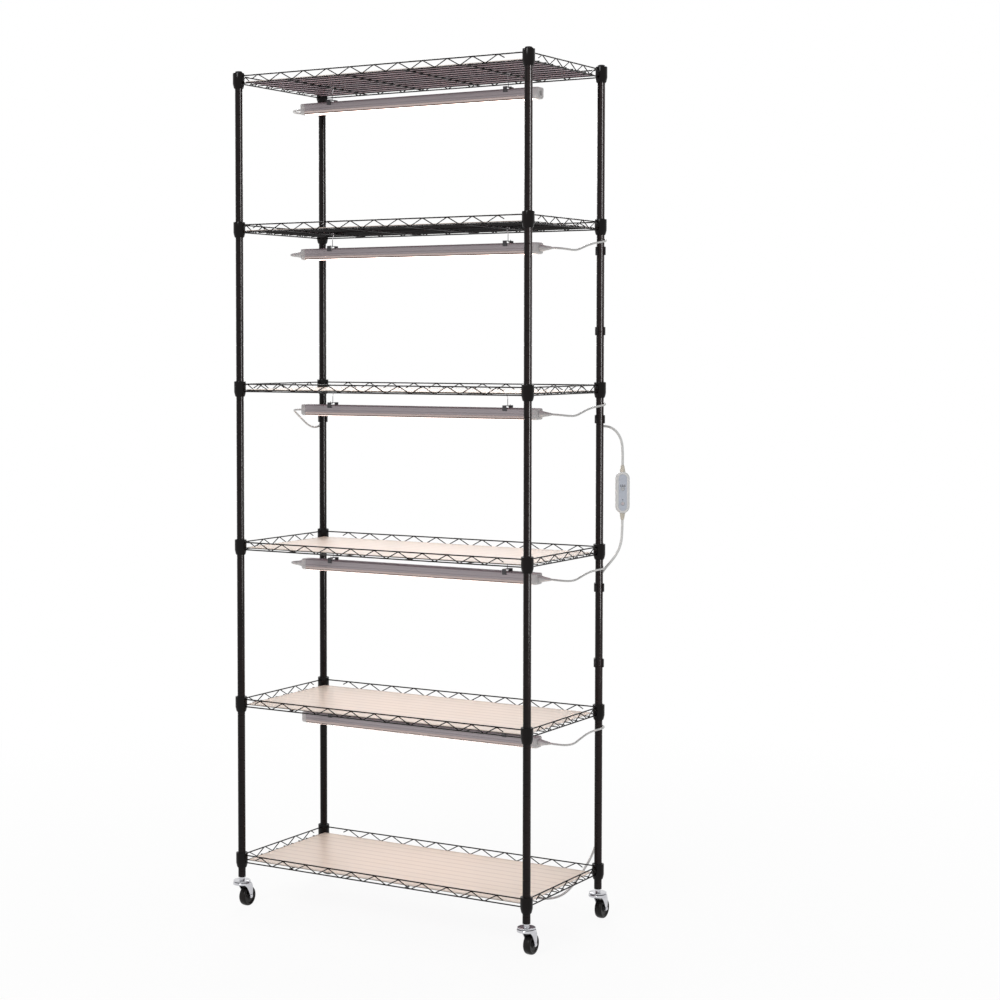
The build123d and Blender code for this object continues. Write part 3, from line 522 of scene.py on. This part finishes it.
# A face's slope goes from 0, where it stands upright, to 1, where it is turned to the floor.
by_slope = ("Normal", "Z", "MULTIPLY", -1.0)
from_wire = ("Object", "Y", "PINGPONG", deck_pitch / 2)
pale, line_shade, under_shade = (1, 1, 1), (0.8, 0.77, 0.77), (0.6, 0.52, 0.72)
# Painted shade: a faint darker line on the sheet over each deck wire, repeated at the deck pitch across Y.
multiplied(liner_finish, ramped(liner_finish, *from_wire, ((0.0008, line_shade), (0.004, pale))))
# Painted shade: faces of the sheet turned towards the floor are darker and lilac, as if in shadow.
multiplied(liner_finish, ramped(liner_finish, *by_slope, ((0.4, pale), (0.6, under_shade))))


def rounded_rectangle(x, y, radius, steps=5):
    outline = []
    for quarter, (sx, sy) in enumerate(((1, 1), (-1, 1), (-1, -1), (1, -1))):
        for i in range(steps + 1):
            a = math.pi / 2 * (quarter + i / steps)
            middle = Vector((sx * (x - radius), sy * (y - radius)))
            outline.append(tuple(middle + radius * Vector((math.cos(a), math.sin(a)))))
    return outline


sheet_outline = rounded_rectangle(liner_x, liner_y, liner_corner)
sheets = [
    skin([[(x, y, height + liner_level + lift) for x, y in sheet_outline] for lift in (0, liner_thickness)])
    for height in shelf_heights
]
piece("shelf_liners_cut", sheets, liner_finish, "stand", ["shelf_liners"])

# Grow lights: a drawn aluminium channel with a groove down each side for the clips, a
# snapped-in milky diffuser below, and a board of lamps inside, closed by milky end caps.
light_x, light_y, light_half = -0.009, 0.015, 0.296
housing_top, housing_foot, diffuser_foot = -0.032, -0.049, -0.057
light_middle = (housing_top + diffuser_foot) / 2
light_levels = [height + bar_level for height in shelf_heights[:-1]]
aluminium = skinned(
    "drawn_aluminium", (0.32, 0.285, 0.3), (0.39, 0.35, 0.365), (0.26, 0.42),
    grain=1600.0, relief=0.25, spread=90.0, stretch=0.02, metallic=0.85,
)
diffuser_finish = skinned(
    "milky_diffuser", (0.78, 0.7, 0.68), (0.72, 0.64, 0.62), (0.28, 0.4),
    relief=0.08, specular=0.3,
)
glow, painted_corner_shade = shader_of(diffuser_finish), (0.1, 0.075, 0.065)
shine = ramped(diffuser_finish, *by_slope, ((0.9, (0.012, 0.009, 0.008)), (0.98, (1.0, 0.76, 0.68))))
join(diffuser_finish.node_tree, (shine, "Color", glow, "Emission Color"))
fill(glow, {"Emission Strength": 8.0})
# Painted shade: the diffuser's rounded lower corner, between its upright sides and its flat bottom, is
# darkened into a dark line along the light.
painted_corner_stops = ((0.2, pale), (0.4, painted_corner_shade), (0.9, painted_corner_shade), (0.98, pale))
multiplied(diffuser_finish, ramped(diffuser_finish, *by_slope, painted_corner_stops))
milky_plastic = skinned(
    "milky_moulded_plastic", (0.82, 0.81, 0.8), (0.76, 0.755, 0.75), (0.26, 0.42),
    grain=1500.0, relief=0.12, spread=70.0,
)
board_finish = skinned(
    "white_lamp_board", (0.84, 0.84, 0.82), (0.78, 0.78, 0.75), (0.42, 0.58),
    grain=1200.0, spread=50.0,
)


def drawn_out(outline, start, end):
    """A section of (y, z) pairs drawn out along X."""
    return skin([[(x, y, z) for y, z in outline] for x in (start, end)])


def both_sides(half):
    """A whole section from its right half, listed from the top middle downwards."""
    return [(-y, z) for y, z in half if y] + [(y, z) for y, z in half[::-1]]


top, foot, lip, low = housing_top, housing_foot, housing_foot - 0.0002, diffuser_foot
channel_half = [(0, top - 0.0005), (0.003, top - 0.0005), (0.0036, top), (0.0118, top)]
channel_half += [(0.0134, top - 0.0006), (0.014, top - 0.0022), (0.014, -0.0365), (0.0132, -0.0365)]
channel_half += [(0.0132, -0.039), (0.014, -0.039), (0.014, -0.044), (0.0136, -0.0443)]
channel_half += [(0.0136, -0.0449), (0.014, -0.0452), (0.014, foot), (0.012, foot)]
channel_half += [(0.012, -0.034), (0, -0.034)]
bowl_half = [(0, low + 0.0013), (0.0104, low + 0.0013), (0.012, low + 0.0026), (0.0127, low + 0.0042)]
bowl_half += [(0.0127, lip - 0.0019), (0.0105, lip - 0.0019), (0.0105, foot + 0.005)]
bowl_half += [(0.0118, foot + 0.005), (0.0118, lip), (0.0126, lip), (0.0126, lip - 0.0009)]
bowl_half += [(0.014, lip - 0.0009), (0.014, low + 0.004), (0.0134, low + 0.002)]
bowl_half += [(0.0121, low + 0.0006), (0.0104, low), (0, low)]
end_half = [(0.012, top), (0.014, top - 0.002), (0.014, low + 0.0034), (0.0106, low)]
end_loop = [Vector((y, z - light_middle)) for y, z in end_half + [(-y, z) for y, z in end_half[::-1]]]


def spoke_ring(out, inset):
    """The end cap's outline beyond the channel's end, at even angles about its middle."""
    ring = []
    for angle in around(40):
        ray = Vector((math.cos(angle), math.sin(angle)))
        edges = zip(end_loop, end_loop[1:] + end_loop[:1])
        hits = [intersect_line_line_2d((0, 0), ray, start, end) for start, end in edges]
        spot = ray * (min(hit.length for hit in hits if hit) - inset)
        ring.append((light_half + out, spot.x, light_middle + spot.y))
    return ring


def hub_ring(out, radius):
    return [(light_half + out, *spot) for spot in circle(radius, 40, 0, light_middle)]


def end_cap(socket):
    """A moulded cap beyond the channel's right end, with a round socket or closed."""
    rings = [spoke_ring(0, 0), spoke_ring(0.0014, 0), spoke_ring(0.0016, 0.0003), spoke_ring(0.002, 0)]
    rings += [spoke_ring(0.0096, 0.0002), spoke_ring(0.0112, 0.0009), spoke_ring(0.012, 0.002)]
    if socket:
        rings += [hub_ring(0.012, 0.0058), hub_ring(0.0114, 0.0055), hub_ring(0.006, 0.0055)]
    return skin(rings)


def end_plug(length):
    """A soft plug pushed into the cap, ribbed where a thumb pulls it, tapering to its lead."""
    outline = [(0.0066, 0), (0.0075, 0.0008)]
    if length > 0.01:
        outline += [(0.0073, 0.2 * length), (0.0064, 0.32 * length), (0.0052, 0.5 * length)]
        for rib in range(3):
            at, radius = (0.56 + 0.12 * rib) * length, 0.0049 - 0.0006 * rib
            valley = radius - 0.0007
            outline += [(radius, at), (valley, at + 0.0006), (valley, at + 0.0015), (radius, at + 0.002)]
        outline += [(0.0029, 0.94 * length), (0.0025, length)]
    else:
        outline += [(0.0068, 0.5 * length), (0.004, 0.85 * length), (0.0025, length)]
    return across_x(turned(outline, 28), (light_half + 0.012, 0, light_middle))


def to_left_end(form):
    return flipped(form, x=-1, y=-1)


# Hangers: a bright wire hook goes over a cross bar. Its stem is dark and goes down through
# the slot of a dark sprung clip, whose lips snap into the channel's side grooves.
hook_wire, hanger_half = 0.0007, (bar_places[-1] - bar_places[0]) / 2
hook_steel = skinned(
    "bright_wire", (0.92, 0.9, 0.91), (0.8, 0.78, 0.79), (0.18, 0.32),
    spread=120.0, metallic=1.0,
)
clip_steel = skinned(
    "blued_spring_steel", (0.06, 0.06, 0.065), (0.1, 0.095, 0.1), (0.26, 0.42),
    spread=150.0, metallic=0.7,
)
loop_radius, curl_radius = 0.0028, 0.0032
hook_line = [
    (loop_radius * math.cos(a), 0, loop_radius * math.sin(a)) for a in map(math.radians, range(-36, 175, 15))
]
hook_line += mm((-2.4, 0, -5.4), (-0.9, 0, -8.6), (0, 0, -11.8), (0, 0, -13))
stem_line = mm((0, 0, -12.6), (0, 0, -24))
for angle in (math.pi * (1 + i / 8) for i in range(9)):
    stem_line.append((curl_radius * (1 + math.cos(angle)), 0, -0.0266 + curl_radius * math.sin(angle)))
stem_line.append((0.0064, 0, -0.0246))


def plate(loops, level, thickness):
    """A flat sheet in X and Y with holes: the first loop is its edge, the others its holes."""
    flat = [[Vector((x, y, 0)) for x, y in loop] for loop in loops]
    points = [p for loop in flat for p in loop]
    faces = [tuple(t) for t in tessellate_polygon(flat)]
    count = len(points)
    faces += [tuple(i + count for i in t) for t in faces]
    start = 0
    for loop in flat:
        size = len(loop)
        for j in range(size):
            a, b = start + j, start + (j + 1) % size
            faces.append((a, b, b + count, a + count))
        start += size
    return [p + Vector((0, 0, level + lift)) for lift in (0, thickness) for p in points], faces


def box_loop(x, y):
    return [(x, y), (-x, y), (-x, -y), (x, -y)]


web_level, web_half = -0.0275, 0.005
spring_side = [(0.01415, web_level), (0.01505, web_level), (0.01505, -0.03885), (0.01335, -0.03885)]
spring_side += [(0.01335, -0.03665), (0.01415, -0.03665)]
clip_forms = [plate([box_loop(web_half, 0.01505), box_loop(0.0014, 0.0014)], web_level, 0.0009)]
for side in (1, -1):
    clip_forms.append(drawn_out([(y * side, z) for y, z in spring_side], -web_half, web_half))
clip_forms.append(wire(stem_line, hook_wire))
hook_form = wire(hook_line, hook_wire)

channel, bowl = (drawn_out(both_sides(half), -light_half, light_half) for half in (channel_half, bowl_half))
left_plugs = (0.008, 0.036, 0.008, 0.036, 0)
right_plugs = (0, 0.028, 0.028, 0.028, 0.028)
for number, (level, left, right) in enumerate(zip(light_levels, left_plugs, right_plugs), start=1):
    light = f"light_{number}"
    ends = [end_cap(not right), to_left_end(end_cap(False))]
    ends += [end_plug(right)] if right else []
    ends += [to_left_end(end_plug(left))] if left else []
    clips = [placed(form, (hanger_half, 0, 0)) for form in clip_forms]
    hooks = [placed(hook_form, (hanger_half, 0, 0))]
    for label, forms, finish, named, stood_for in (
        ("channel", [channel], aluminium, "light_aluminium", "housing"),
        ("bowl", [bowl], diffuser_finish, "diffuser_milk", "diffuser"),
        ("ends", ends, milky_plastic, "milky_plastic", "end_caps"),
        ("clips", clips + [to_left_end(f) for f in clips], clip_steel, "spring_steel", "hangers"),
        ("hooks", hooks + [to_left_end(f) for f in hooks], hook_steel, "spring_steel", "hangers"),
    ):
        hung = [placed(form, (light_x, light_y, level)) for form in forms]
        piece(f"{light}_{label}", hung, finish, light, [f"{light}_{stood_for}"], 30)

# Light leads: limp white leads. Four run from the lights' right plugs, sag, go round the
# rear right post and join the harness. One links the top light to the third, on the left,
# in two stretches that meet halfway.
lead_diameter, lead_start = 0.0044, 0.3273
lead_white = skinned(
    "white_lead", (0.86, 0.86, 0.85), (0.8, 0.8, 0.78), (0.36, 0.5),
    grain=1500.0, relief=0.08, spread=30.0,
)


def spline_line(points, steps=8):
    """The line of a quadratic spline whose route starts and ends on it."""
    points = [Vector(p) for p in points]
    joints = [points[0], *((a + b) / 2 for a, b in zip(points[1:], points[2:-1])), points[-1]]
    line = [points[0]]
    for start, corner, end in zip(joints, points[1:], joints[1:]):
        line += bent(start, corner, end, steps)[1:]
    return line


def lead(name, route, light):
    """A lead along a spline through its route, which starts at its light."""
    line = spline_line(route)
    bend, form = (light, "stand", route[0], (*route[5][:2], route[0][2])), wire(line, lead_diameter / 2, 12)
    tube = piece(name, [form], lead_white, bend, ["light_leads"], 60)


lead_route = [(lead_start - half_x, -0.1495, light_middle)]
lead_route += mm(
    (-22, -149.5, -45.3), (-8, -133, -47.8), (-6, -104, -48.8), (-8, -72, -42), (-5, -36, -32),
    (7.45, -9.97, -27.1), (12.7, 1, -25), (6.08, 11.2, -21.5), (-1, 11.19, -20.9), (-9.6, 11.15, -20),
)
lead_drops = (0, 0, 0, 0, 0.2, 0.4, 0.54, 0.6, 0.8, 0.89, 1.0)
for number, drop in enumerate((0.0, 0.003, 0.01, 0.006), start=2):
    level = light_levels[number - 1]
    route = [(half_x + x, half_y + y, level + z - drop * s) for (x, y, z), s in zip(lead_route, lead_drops)]
    lead(f"lead_light_{number}", route, f"light_{number}")
link_upper_route = mm(
    (-325.3, 15, 44.5), (-341, 15, 44.8), (-355, 28, 45.5), (-364, 53, 45), (-371, 88, 42.5),
    (-377, 124, 39.5), (-380.5, 152, 38), (-379.7, 175.1, 38.5), (-379.7, 175.1, 61.5),
)
link_lower_route = mm(
    (-325.3, 15, 44.5), (-341, 15.5, 44.8), (-353, 24, 47), (-361, 47, 55), (-367, 80, 71),
    (-373, 114, 86), (-378, 148, 92), (-379.7, 175.1, 86), (-379.7, 175.1, 59),
)
link_middle = (-0.3797, 0.1751, (light_levels[0] + light_levels[2]) / 2)
for label, number, length, drops in (
    ("upper", 1, 0.484, link_upper_route),
    ("lower", 3, 0.617, link_lower_route),
):
    route = [(x, y, light_levels[number - 1] - drop) for x, y, drop in drops]
    lead(f"lead_link_{label}", [*route, link_middle], f"light_{number}")


# Harness: the leads' common trunk, held straight behind the rear right post by its clips,
# from the second light's lead down to the fifth's.
def cord(name, points, diameter, replaced):
    """A cord as a smooth spline through its route."""
    line = bpy.data.curves.new(name, "CURVE")
    line.dimensions = "3D"
    line.bevel_depth, line.bevel_resolution, line.use_fill_caps = diameter / 2, 4, True
    spline = line.splines.new("NURBS")
    spline.points.add(len(points) - 1)
    for spot, point in zip(spline.points, points):
        spot.co = (*point, 1.0)
    spline.order_u, spline.resolution_u, spline.use_endpoint_u = 3, 10, True
    line.materials.append(lead_white)
    return settle(bpy.data.objects.new(name, line), "stand", replaced)


harness_x, harness_y, harness_diameter = half_x - 0.0124, half_y + 0.0111, 0.005
harness_top, harness_foot = shelf_heights[1] - 0.02, shelf_heights[4] - 0.042
harness_levels = [harness_top + (harness_foot - harness_top) * s for s in (0, 0.05, 0.5, 0.95, 1)]
harness_route = [(harness_x, harness_y, level) for level in harness_levels]
trunk = cord("harness_trunk_lead", harness_route, harness_diameter, ["harness_trunk"])

# Snap clips: black moulded clips that open towards the front and grip the post, with a
# pocket behind it for the cords.
clip_black = skinned(
    "black_clip_plastic", (0.008, 0.008, 0.009), (0.018, 0.016, 0.016), (0.36, 0.52),
    grain=2000.0, relief=0.2, spread=40.0, specular=0.2,
)
post_ring = ((0.0, 0.0), post_radius)
harness_ring = ((-0.0124, 0.0111), 0.0025)
mains_ring = ((-0.0069, 0.0166), 0.00275)
link_ring = ((-0.0122, 0.0106), 0.0022)


def wrapped(rings, angle, grown):
    """The furthest point of a band round several rings, in one direction."""
    out = Vector((math.cos(angle), math.sin(angle)))
    (x, y), radius = max(rings, key=lambda ring: Vector(ring[0]).dot(out) + ring[1])
    return Vector((x, y)) + out * (radius + grown)


def snap_clip(x, z, rings):
    """A clip round the rear post at x and round the cords behind it."""
    half, gap, wall, mouth, chamfer = 0.009, 0.0003, 0.0026, math.radians(42), 0.0005
    start = math.radians(-50) + mouth
    sections = []
    for angle in (start + (2 * math.pi - 2 * mouth) * i / 60 for i in range(61)):
        inner, outer = wrapped(rings, angle, gap), wrapped(rings, angle, gap + wall)
        rim = outer + (inner - outer) * 0.15
        half_edge = [(inner, half), (rim, half), (outer, half - chamfer)]
        edge = [(p, -rise) for p, rise in half_edge] + half_edge[::-1]
        sections.append([(x + p.x, half_y + p.y, z + rise) for p, rise in edge])
    return skin(sections)


clips = [snap_clip(half_x, z, [post_ring, harness_ring]) for z in (1.48, 1.305, 1.112)]
clips += [snap_clip(half_x, z, [post_ring, harness_ring, mains_ring]) for z in (0.741, 0.574)]
clips.append(snap_clip(-half_x, 1.101, [post_ring, link_ring]))
piece("cable_clips_moulded", clips, clip_black, "stand", ["cable_clips"], 50)

# Timer controller: two white shells joined at a seam, a sunk grey-blue printed panel with
# two push buttons and four small lamps, and a ribbed ivory gland at each end.
controller_at = Matrix.Translation((0.404, 0.204, 0.95)) @ Matrix.Rotation(math.radians(31.66), 4, "Z")
shell_white = skinned(
    "white_shell", (0.86, 0.86, 0.85), (0.81, 0.81, 0.8), (0.24, 0.36),
    grain=1800.0, relief=0.06, spread=60.0, coat=0.2,
)
panel_finish = skinned(
    "printed_panel", (0.63, 0.67, 0.75), (0.59, 0.63, 0.71), (0.4, 0.5),
    grain=2500.0, relief=0.1, spread=50.0,
)
print_black = skinned(
    "black_print", (0.018, 0.02, 0.024), (0.03, 0.03, 0.035), (0.44, 0.55), spread=400.0,
)
print_red = skinned("red_print", (0.46, 0.03, 0.05), (0.4, 0.025, 0.04), (0.44, 0.55), spread=400.0)
ivory = skinned(
    "ivory_gland", (0.82, 0.78, 0.69), (0.76, 0.71, 0.61), (0.44, 0.58),
    grain=1500.0, relief=0.15, spread=80.0,
)
button_finish = skinned(
    "button_white", (0.8, 0.82, 0.84), (0.74, 0.76, 0.79), (0.3, 0.42), spread=90.0,
)
circuit_finish = skinned(
    "green_board", (0.04, 0.15, 0.08), (0.03, 0.11, 0.05), (0.28, 0.42), spread=300.0,
)


def oblong(width, length, sides=20):
    """An upright outline with straight edges and round ends, in X and Z."""
    middle, radius = (length - width) / 2, width / 2
    points = []
    for end in (0, 1):
        for i in range(sides + 1):
            angle = math.pi * (end + i / sides)
            points.append((radius * math.cos(angle), radius * math.sin(angle) + middle * (1 - 2 * end)))
    return points


def on_controller(form):
    return placed(form, turn=controller_at)


def shell_steps(side):
    """Oblongs from the seam over a rounded edge to the face, side -1 being the front."""
    face, edge, width, length = 0.008, 0.0036, 0.031, 0.092
    steps = [(side * 0.00005, width, length)]
    for angle in (math.pi / 2 * i / 6 for i in range(7)):
        drop = 2 * edge * (1 - math.cos(angle))
        steps.append((side * (face - edge * (1 - math.sin(angle))), width - drop, length - drop))
    return steps


recess = mm((-8, 19, 82), (-7.8, 18.2, 81.2), (-7.2, 18, 81))
for name, steps in (("controller_front", shell_steps(-1) + recess), ("controller_back", shell_steps(1))):
    shell = skin([[(x, y, z) for x, z in oblong(width, length)] for y, width, length in steps])
    piece(f"{name}_shell", [on_controller(shell)], shell_white, "stand", [name])


def panel_sheet(loops, face, thickness):
    """A flat sheet on the controller's front, its face turned to -Y."""
    points, faces = plate(loops, 0, thickness)
    return on_controller(([Vector((p.x, face + thickness - p.z, p.y)) for p in points], faces))


button_rises = {"timer_button": 0.0084, "power_button": -0.0241}
bores = [circle(0.0047, 32, 0, rise) for rise in button_rises.values()]
panel = panel_sheet([oblong(0.0178, 0.0808), *bores], -0.0077, 0.0005)
piece("controller_panel_sheet", [panel], panel_finish, "stand", ["controller_panel"])
lamp_radius, label_rise, hours = 0.0011, 0.0143, {"4": -0.0045, "8": 0.0, "16": 0.0045}
marks = [circle(lamp_radius, 32, x, 0.0168) for x in hours.values()] + [circle(lamp_radius, 32, 0, -0.0157)]
for x in hours.values():
    marks.append([(x + px, label_rise + pz) for px, pz in rounded_rectangle(0.0016, 0.001, 0.0004)])
marks = [panel_sheet([mark], -0.00776, 0.0001) for mark in marks]
piece("controller_marks", marks, print_black, "stand")
for number, x in hours.items():
    words = bpy.data.curves.new(f"number_{number}", "FONT")
    words.body, words.size, words.extrude = number, 0.0017, 0.00002
    words.align_x, words.align_y = "CENTER", "CENTER"
    words.materials.append(button_finish)
    plaque = bpy.data.objects.new(f"number_{number}", words)
    upright = Matrix.Rotation(math.pi / 2, 4, "X")
    plaque.matrix_world = controller_at @ Matrix.Translation((x, -0.00779, label_rise)) @ upright
    bpy.context.scene.collection.objects.link(plaque)
    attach(plaque, "stand")

# Push buttons: two white discs standing just proud of the panel, each printed with a black
# ring. The upper has a clock in it, the lower a red power sign.
button_face, button_radius = 0.0081, 0.0045


def band(z, radius, width, start=0, stop=360, steps=40):
    """A printed arc as a closed outline, or a ring as an outline and a hole."""
    edges = (radius + width / 2, radius - width / 2)
    if stop - start >= 360:
        return [circle(edge, steps, 0, z) for edge in edges]
    angles = [math.radians(start + (stop - start) * i / steps) for i in range(steps + 1)]
    outer, inner = ([(edge * math.cos(a), z + edge * math.sin(a)) for a in angles] for edge in edges)
    return [outer + inner[::-1]]


def stroke(start, end, width):
    start, end = Vector(start), Vector(end)
    side = Vector((start.y - end.y, end.x - start.x)).normalized() * width / 2
    return [[tuple(p) for p in (start + side, end + side, end - side, start - side)]]


def printed(signs):
    return [panel_sheet(sign, -button_face - 0.00004, 0.00005) for sign in signs]


for name, rise in button_rises.items():
    points, faces = turned([(button_radius, 0.0032), (button_radius, 0.0078), (0.0043, button_face)], 40)
    body_form = on_controller(([Vector((p.x, -p.z, rise + p.y)) for p in points], faces))
    piece(f"{name}_disc", [body_form], button_finish, name, [name])
    black_signs = [band(rise, 0.004, 0.0005)]
    if name == "timer_button":
        dial = rise - 0.0001
        black_signs += [band(dial, 0.002, 0.0004), stroke((0, dial), (0, rise + 0.0012), 0.0003)]
        black_signs.append(stroke((0, dial), (-0.001, dial), 0.0003))
        black_signs += [band(dial, 0.0027, 0.0004, start, start + 35) for start in (40, 105)]
        for x, foot_x in ((-0.0013, -0.0017), (0.0013, 0.0017)):
            black_signs.append(stroke((x, rise - 0.002), (foot_x, rise - 0.0027), 0.0004))
    else:
        red_signs = [band(rise, 0.0019, 0.0005, 120, 420)]
        red_signs.append(stroke((0, rise + 0.0003), (0, rise + 0.0024), 0.0005))
        piece("power_button_sign", printed(red_signs), print_red, name)
    piece(f"{name}_print", printed(black_signs), print_black, name)

gland_radius, gland_pitch, gland_length, gland_taper, gland_groove = 0.0065, 0.0035, 0.014, 0.0025, 0.0009
gland_outline = [(gland_radius, 0.0)]
for ring in range(4):
    for share, cut in ((0.08, 0), (0.5, 0), (0.58, 1), (0.9, 1), (1.0, 0)):
        at = (ring + share) * gland_pitch
        gland_outline.append((gland_radius - gland_taper * at / gland_length - gland_groove * cut, at))
gland_outline.append((0.0036, gland_length + 0.0001))
gland_up = placed(turned(gland_outline, 32), (0, 0, 0.046))
for label, gland in (("top", gland_up), ("foot", flipped(gland_up, z=-1))):
    gland = on_controller(gland)
    piece(f"controller_gland_{label}", [gland], ivory, "stand", ["controller_glands"])

# Mains lead: from the harness down to the controller, then back behind the post, out to
# the floor and into the coil of the put-away length, which ends in the plug.
mains_diameter = 0.0055
mains_upper_route = [(harness_x + 0.0014, harness_y + 0.00242, 1.096)]
mains_upper_route += mm(
    (366.1, 194, 1097), (384, 203, 1090), (399, 206, 1070), (404.5, 204.3, 1043), (404, 204, 1010.3)
)
mains_upper = cord("mains_lead_to_controller", mains_upper_route, mains_diameter, ["mains_lead_upper"])
mains_x, mains_y, coil_level = half_x - 0.0069, half_y + 0.0166, 0.0029
mains_route = mm((404, 204, 889.7), (404, 203.7, 861), (401, 203, 833), (390, 198, 808), (374.5, 189.3, 787))
mains_route += [(mains_x, mains_y, level) for level in (0.766, 0.74, 0.247, 0.215)]
mains_route += mm((356, 186, 184), (343, 198, 151), (322, 212, 117), (296, 225, 82), (268, 236, 47))
mains_route += mm((238, 243, 19), (205, 245.5, 5.5))
mains_route += [(0.17, 0.2475, coil_level), (0.134, 0.246, coil_level)]
coil_x, coil_y, coil_radius, coil_pitch, coil_turns = 0.095, 0.282, 0.036, 0.00595, 5


def coil_spot(turn):
    """Where the coil's line is after some turns, clockwise from its front."""
    depth = min(turn, coil_turns - turn)
    radius = coil_radius - coil_pitch * depth
    climbed = min(max((turn - 2.25) / 0.5, 0.0), 1.0)
    angle = -math.pi / 2 - 2 * math.pi * turn
    level = coil_level + coil_pitch * climbed**2 * (3 - 2 * climbed)
    return (coil_x + radius * math.cos(angle), coil_y + radius * math.sin(angle), level)


mains_route += [coil_spot(i / 20) for i in range(20 * coil_turns + 1)]
plug_level = coil_level + coil_pitch
plug_start = Vector((coil_x - 0.011, coil_y - coil_radius, plug_level))
mains_route.append(tuple(plug_start))
mains_lower = cord("mains_lead_to_plug", mains_route, mains_diameter, ["mains_lead_lower", "mains_coil"])

# Mains plug: a white moulded body with a tapered, ribbed strain relief and two flat
# plated blades, lying flat beside the coil.
plug_white = skinned(
    "white_plug", (0.86, 0.86, 0.84), (0.8, 0.8, 0.77), (0.34, 0.48),
    grain=1500.0, relief=0.12, spread=60.0,
)
relief_outline = [(0.0031, 0.0)]
for at in (0.0025 + rib * 0.0033 for rib in range(5)):
    radius = 0.0033 + 0.0022 * at / 0.02
    valley = radius - 0.0007
    relief_outline += [(radius, at), (radius, at + 0.0016), (valley, at + 0.0018), (valley, at + 0.003)]
relief_outline += [(0.0055, 0.019), (0.0055, 0.02)]
body_rings = []
for depth, inset in mm((19.5, 3), (20.2, 1), (21.8, 0), (44, 0), (45.5, 0.8), (46, 2.2)):
    outline = rounded_rectangle(0.00885 - inset, 0.012 - inset, 0.004 - inset * 0.4)
    body_rings.append([(x, y, depth) for x, y in outline])
at_plug = Matrix.Translation(plug_start - Vector((0.0003, 0, 0))) @ Matrix.Rotation(-math.pi / 2, 4, "Y")
plug_forms = [placed(form, turn=at_plug) for form in (turned(relief_outline, 28), skin(body_rings))]
plug = piece("mains_plug_body", plug_forms, plug_white, "stand", ["mains_plug"])
blade_forms = []
for blade_y in (-0.00635, 0.00635):
    rings = []
    for depth, pull in ((0.0455, 0), (0.0615, 0), (0.063, 0.0009)):
        outline = rounded_rectangle(0.00315 - pull, 0.00075 - pull * 0.3, 0.0003, 2)
        rings.append([(x, blade_y + y, depth) for x, y in outline])
    blade_forms.append(placed(skin(rings), turn=at_plug))
blades = piece("mains_plug_blades", blade_forms, chrome, "stand", ["mains_plug"])

# Boards: the lamp boards in the channels and the controller's own board keep the shape of
# their solids. Each only gets its finish.
boards = {f"light_{number}_led_board": board_finish for number in range(1, 6)}
boards["controller_board"] = circuit_finish
for name, finish in boards.items():
    for place in nodes[name].material_slots:
        place.link = "OBJECT"
        place.material = finish

# Studio: a pale floor that turns white away from the stand, a white surround, two large
# soft lamps, and a tall lamp that only draws a narrow line of light down each post.
floor_mesh = bpy.data.meshes.new("floor")
floor_mesh.from_pydata([(-9, -9, 0), (9, -9, 0), (9, 9, 0), (-9, 9, 0)], [], [(0, 1, 2, 3)])
floor = bpy.data.objects.new("floor", floor_mesh)
floor_finish = new_finish("pale_floor", (0.9, 0.9, 0.9), 0.9)
tree = floor_finish.node_tree
path, white, mix, seen, share, spot, away, fade = new_nodes(
    tree, "LightPath", "Emission", "MixShader", "Math", "Math", "TexCoord", "VectorMath", "MapRange"
)
seen.operation, share.operation, away.operation = "MAXIMUM", "MULTIPLY", "LENGTH"
fill(fade, {"From Min": 0.5, "From Max": 2.4, "To Min": 0.93, "To Max": 1.0})
join(
    tree,
    (spot, "Object", away, 0),
    (away, "Value", fade, "Value"),
    (fade, "Result", share, 1),
    (path, "Is Camera Ray", seen, 0),
    (path, "Is Glossy Ray", seen, 1),
    (seen, 0, share, 0),
    (share, 0, mix, 0),
    (shader_of(floor_finish), 0, mix, 1),
    (white, 0, mix, 2),
    (mix, 0, tree.nodes["Material Output"], "Surface"),
)
floor_mesh.materials.append(floor_finish)
bpy.context.scene.collection.objects.link(floor)
floor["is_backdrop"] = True

world = bpy.data.worlds.new("white_surround")
world.use_nodes = True
bpy.context.scene.world = world
surround = world.node_tree.nodes["Background"]
path, either, whole, strength = new_nodes(world.node_tree, "LightPath", "Math", "Math", "MapRange")
either.operation = whole.operation = "MAXIMUM"
fill(strength, {"To Min": 0.36, "To Max": 1.0})
fill(surround, {"Color": (1, 1, 1, 1)})
join(
    world.node_tree,
    (path, "Is Camera Ray", either, 0),
    (path, "Is Transmission Ray", either, 1),
    (either, 0, whole, 0),
    (path, "Is Glossy Ray", whole, 1),
    (whole, 0, strength, "Value"),
    (strength, "Result", surround, "Strength"),
)

for name, place, size, power in (
    ("key_lamp", (0.2, -4.0, 3.6), (1.6, 1.6), 95),
    ("post_lamp", (1.75, -0.35, 1.45), (0.35, 2.1), 100),
    ("back_lamp", (-1.6, 2.6, 2.6), (1.6, 1.6), 40),
):
    lamp = bpy.data.lights.new(name, "AREA")
    lamp.shape, lamp.size, lamp.size_y, lamp.energy = "RECTANGLE", *size, power
    holder = bpy.data.objects.new(name, lamp)
    holder.location = place
    holder.rotation_euler = (Vector((0, 0, 0.95)) - Vector(place)).to_track_quat("-Z", "Y").to_euler()
    if name == "post_lamp":
        holder.light_linking.receiver_collection = posts
    bpy.context.scene.collection.objects.link(holder)

bpy.context.scene.view_settings.view_transform = "Standard"
low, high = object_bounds()
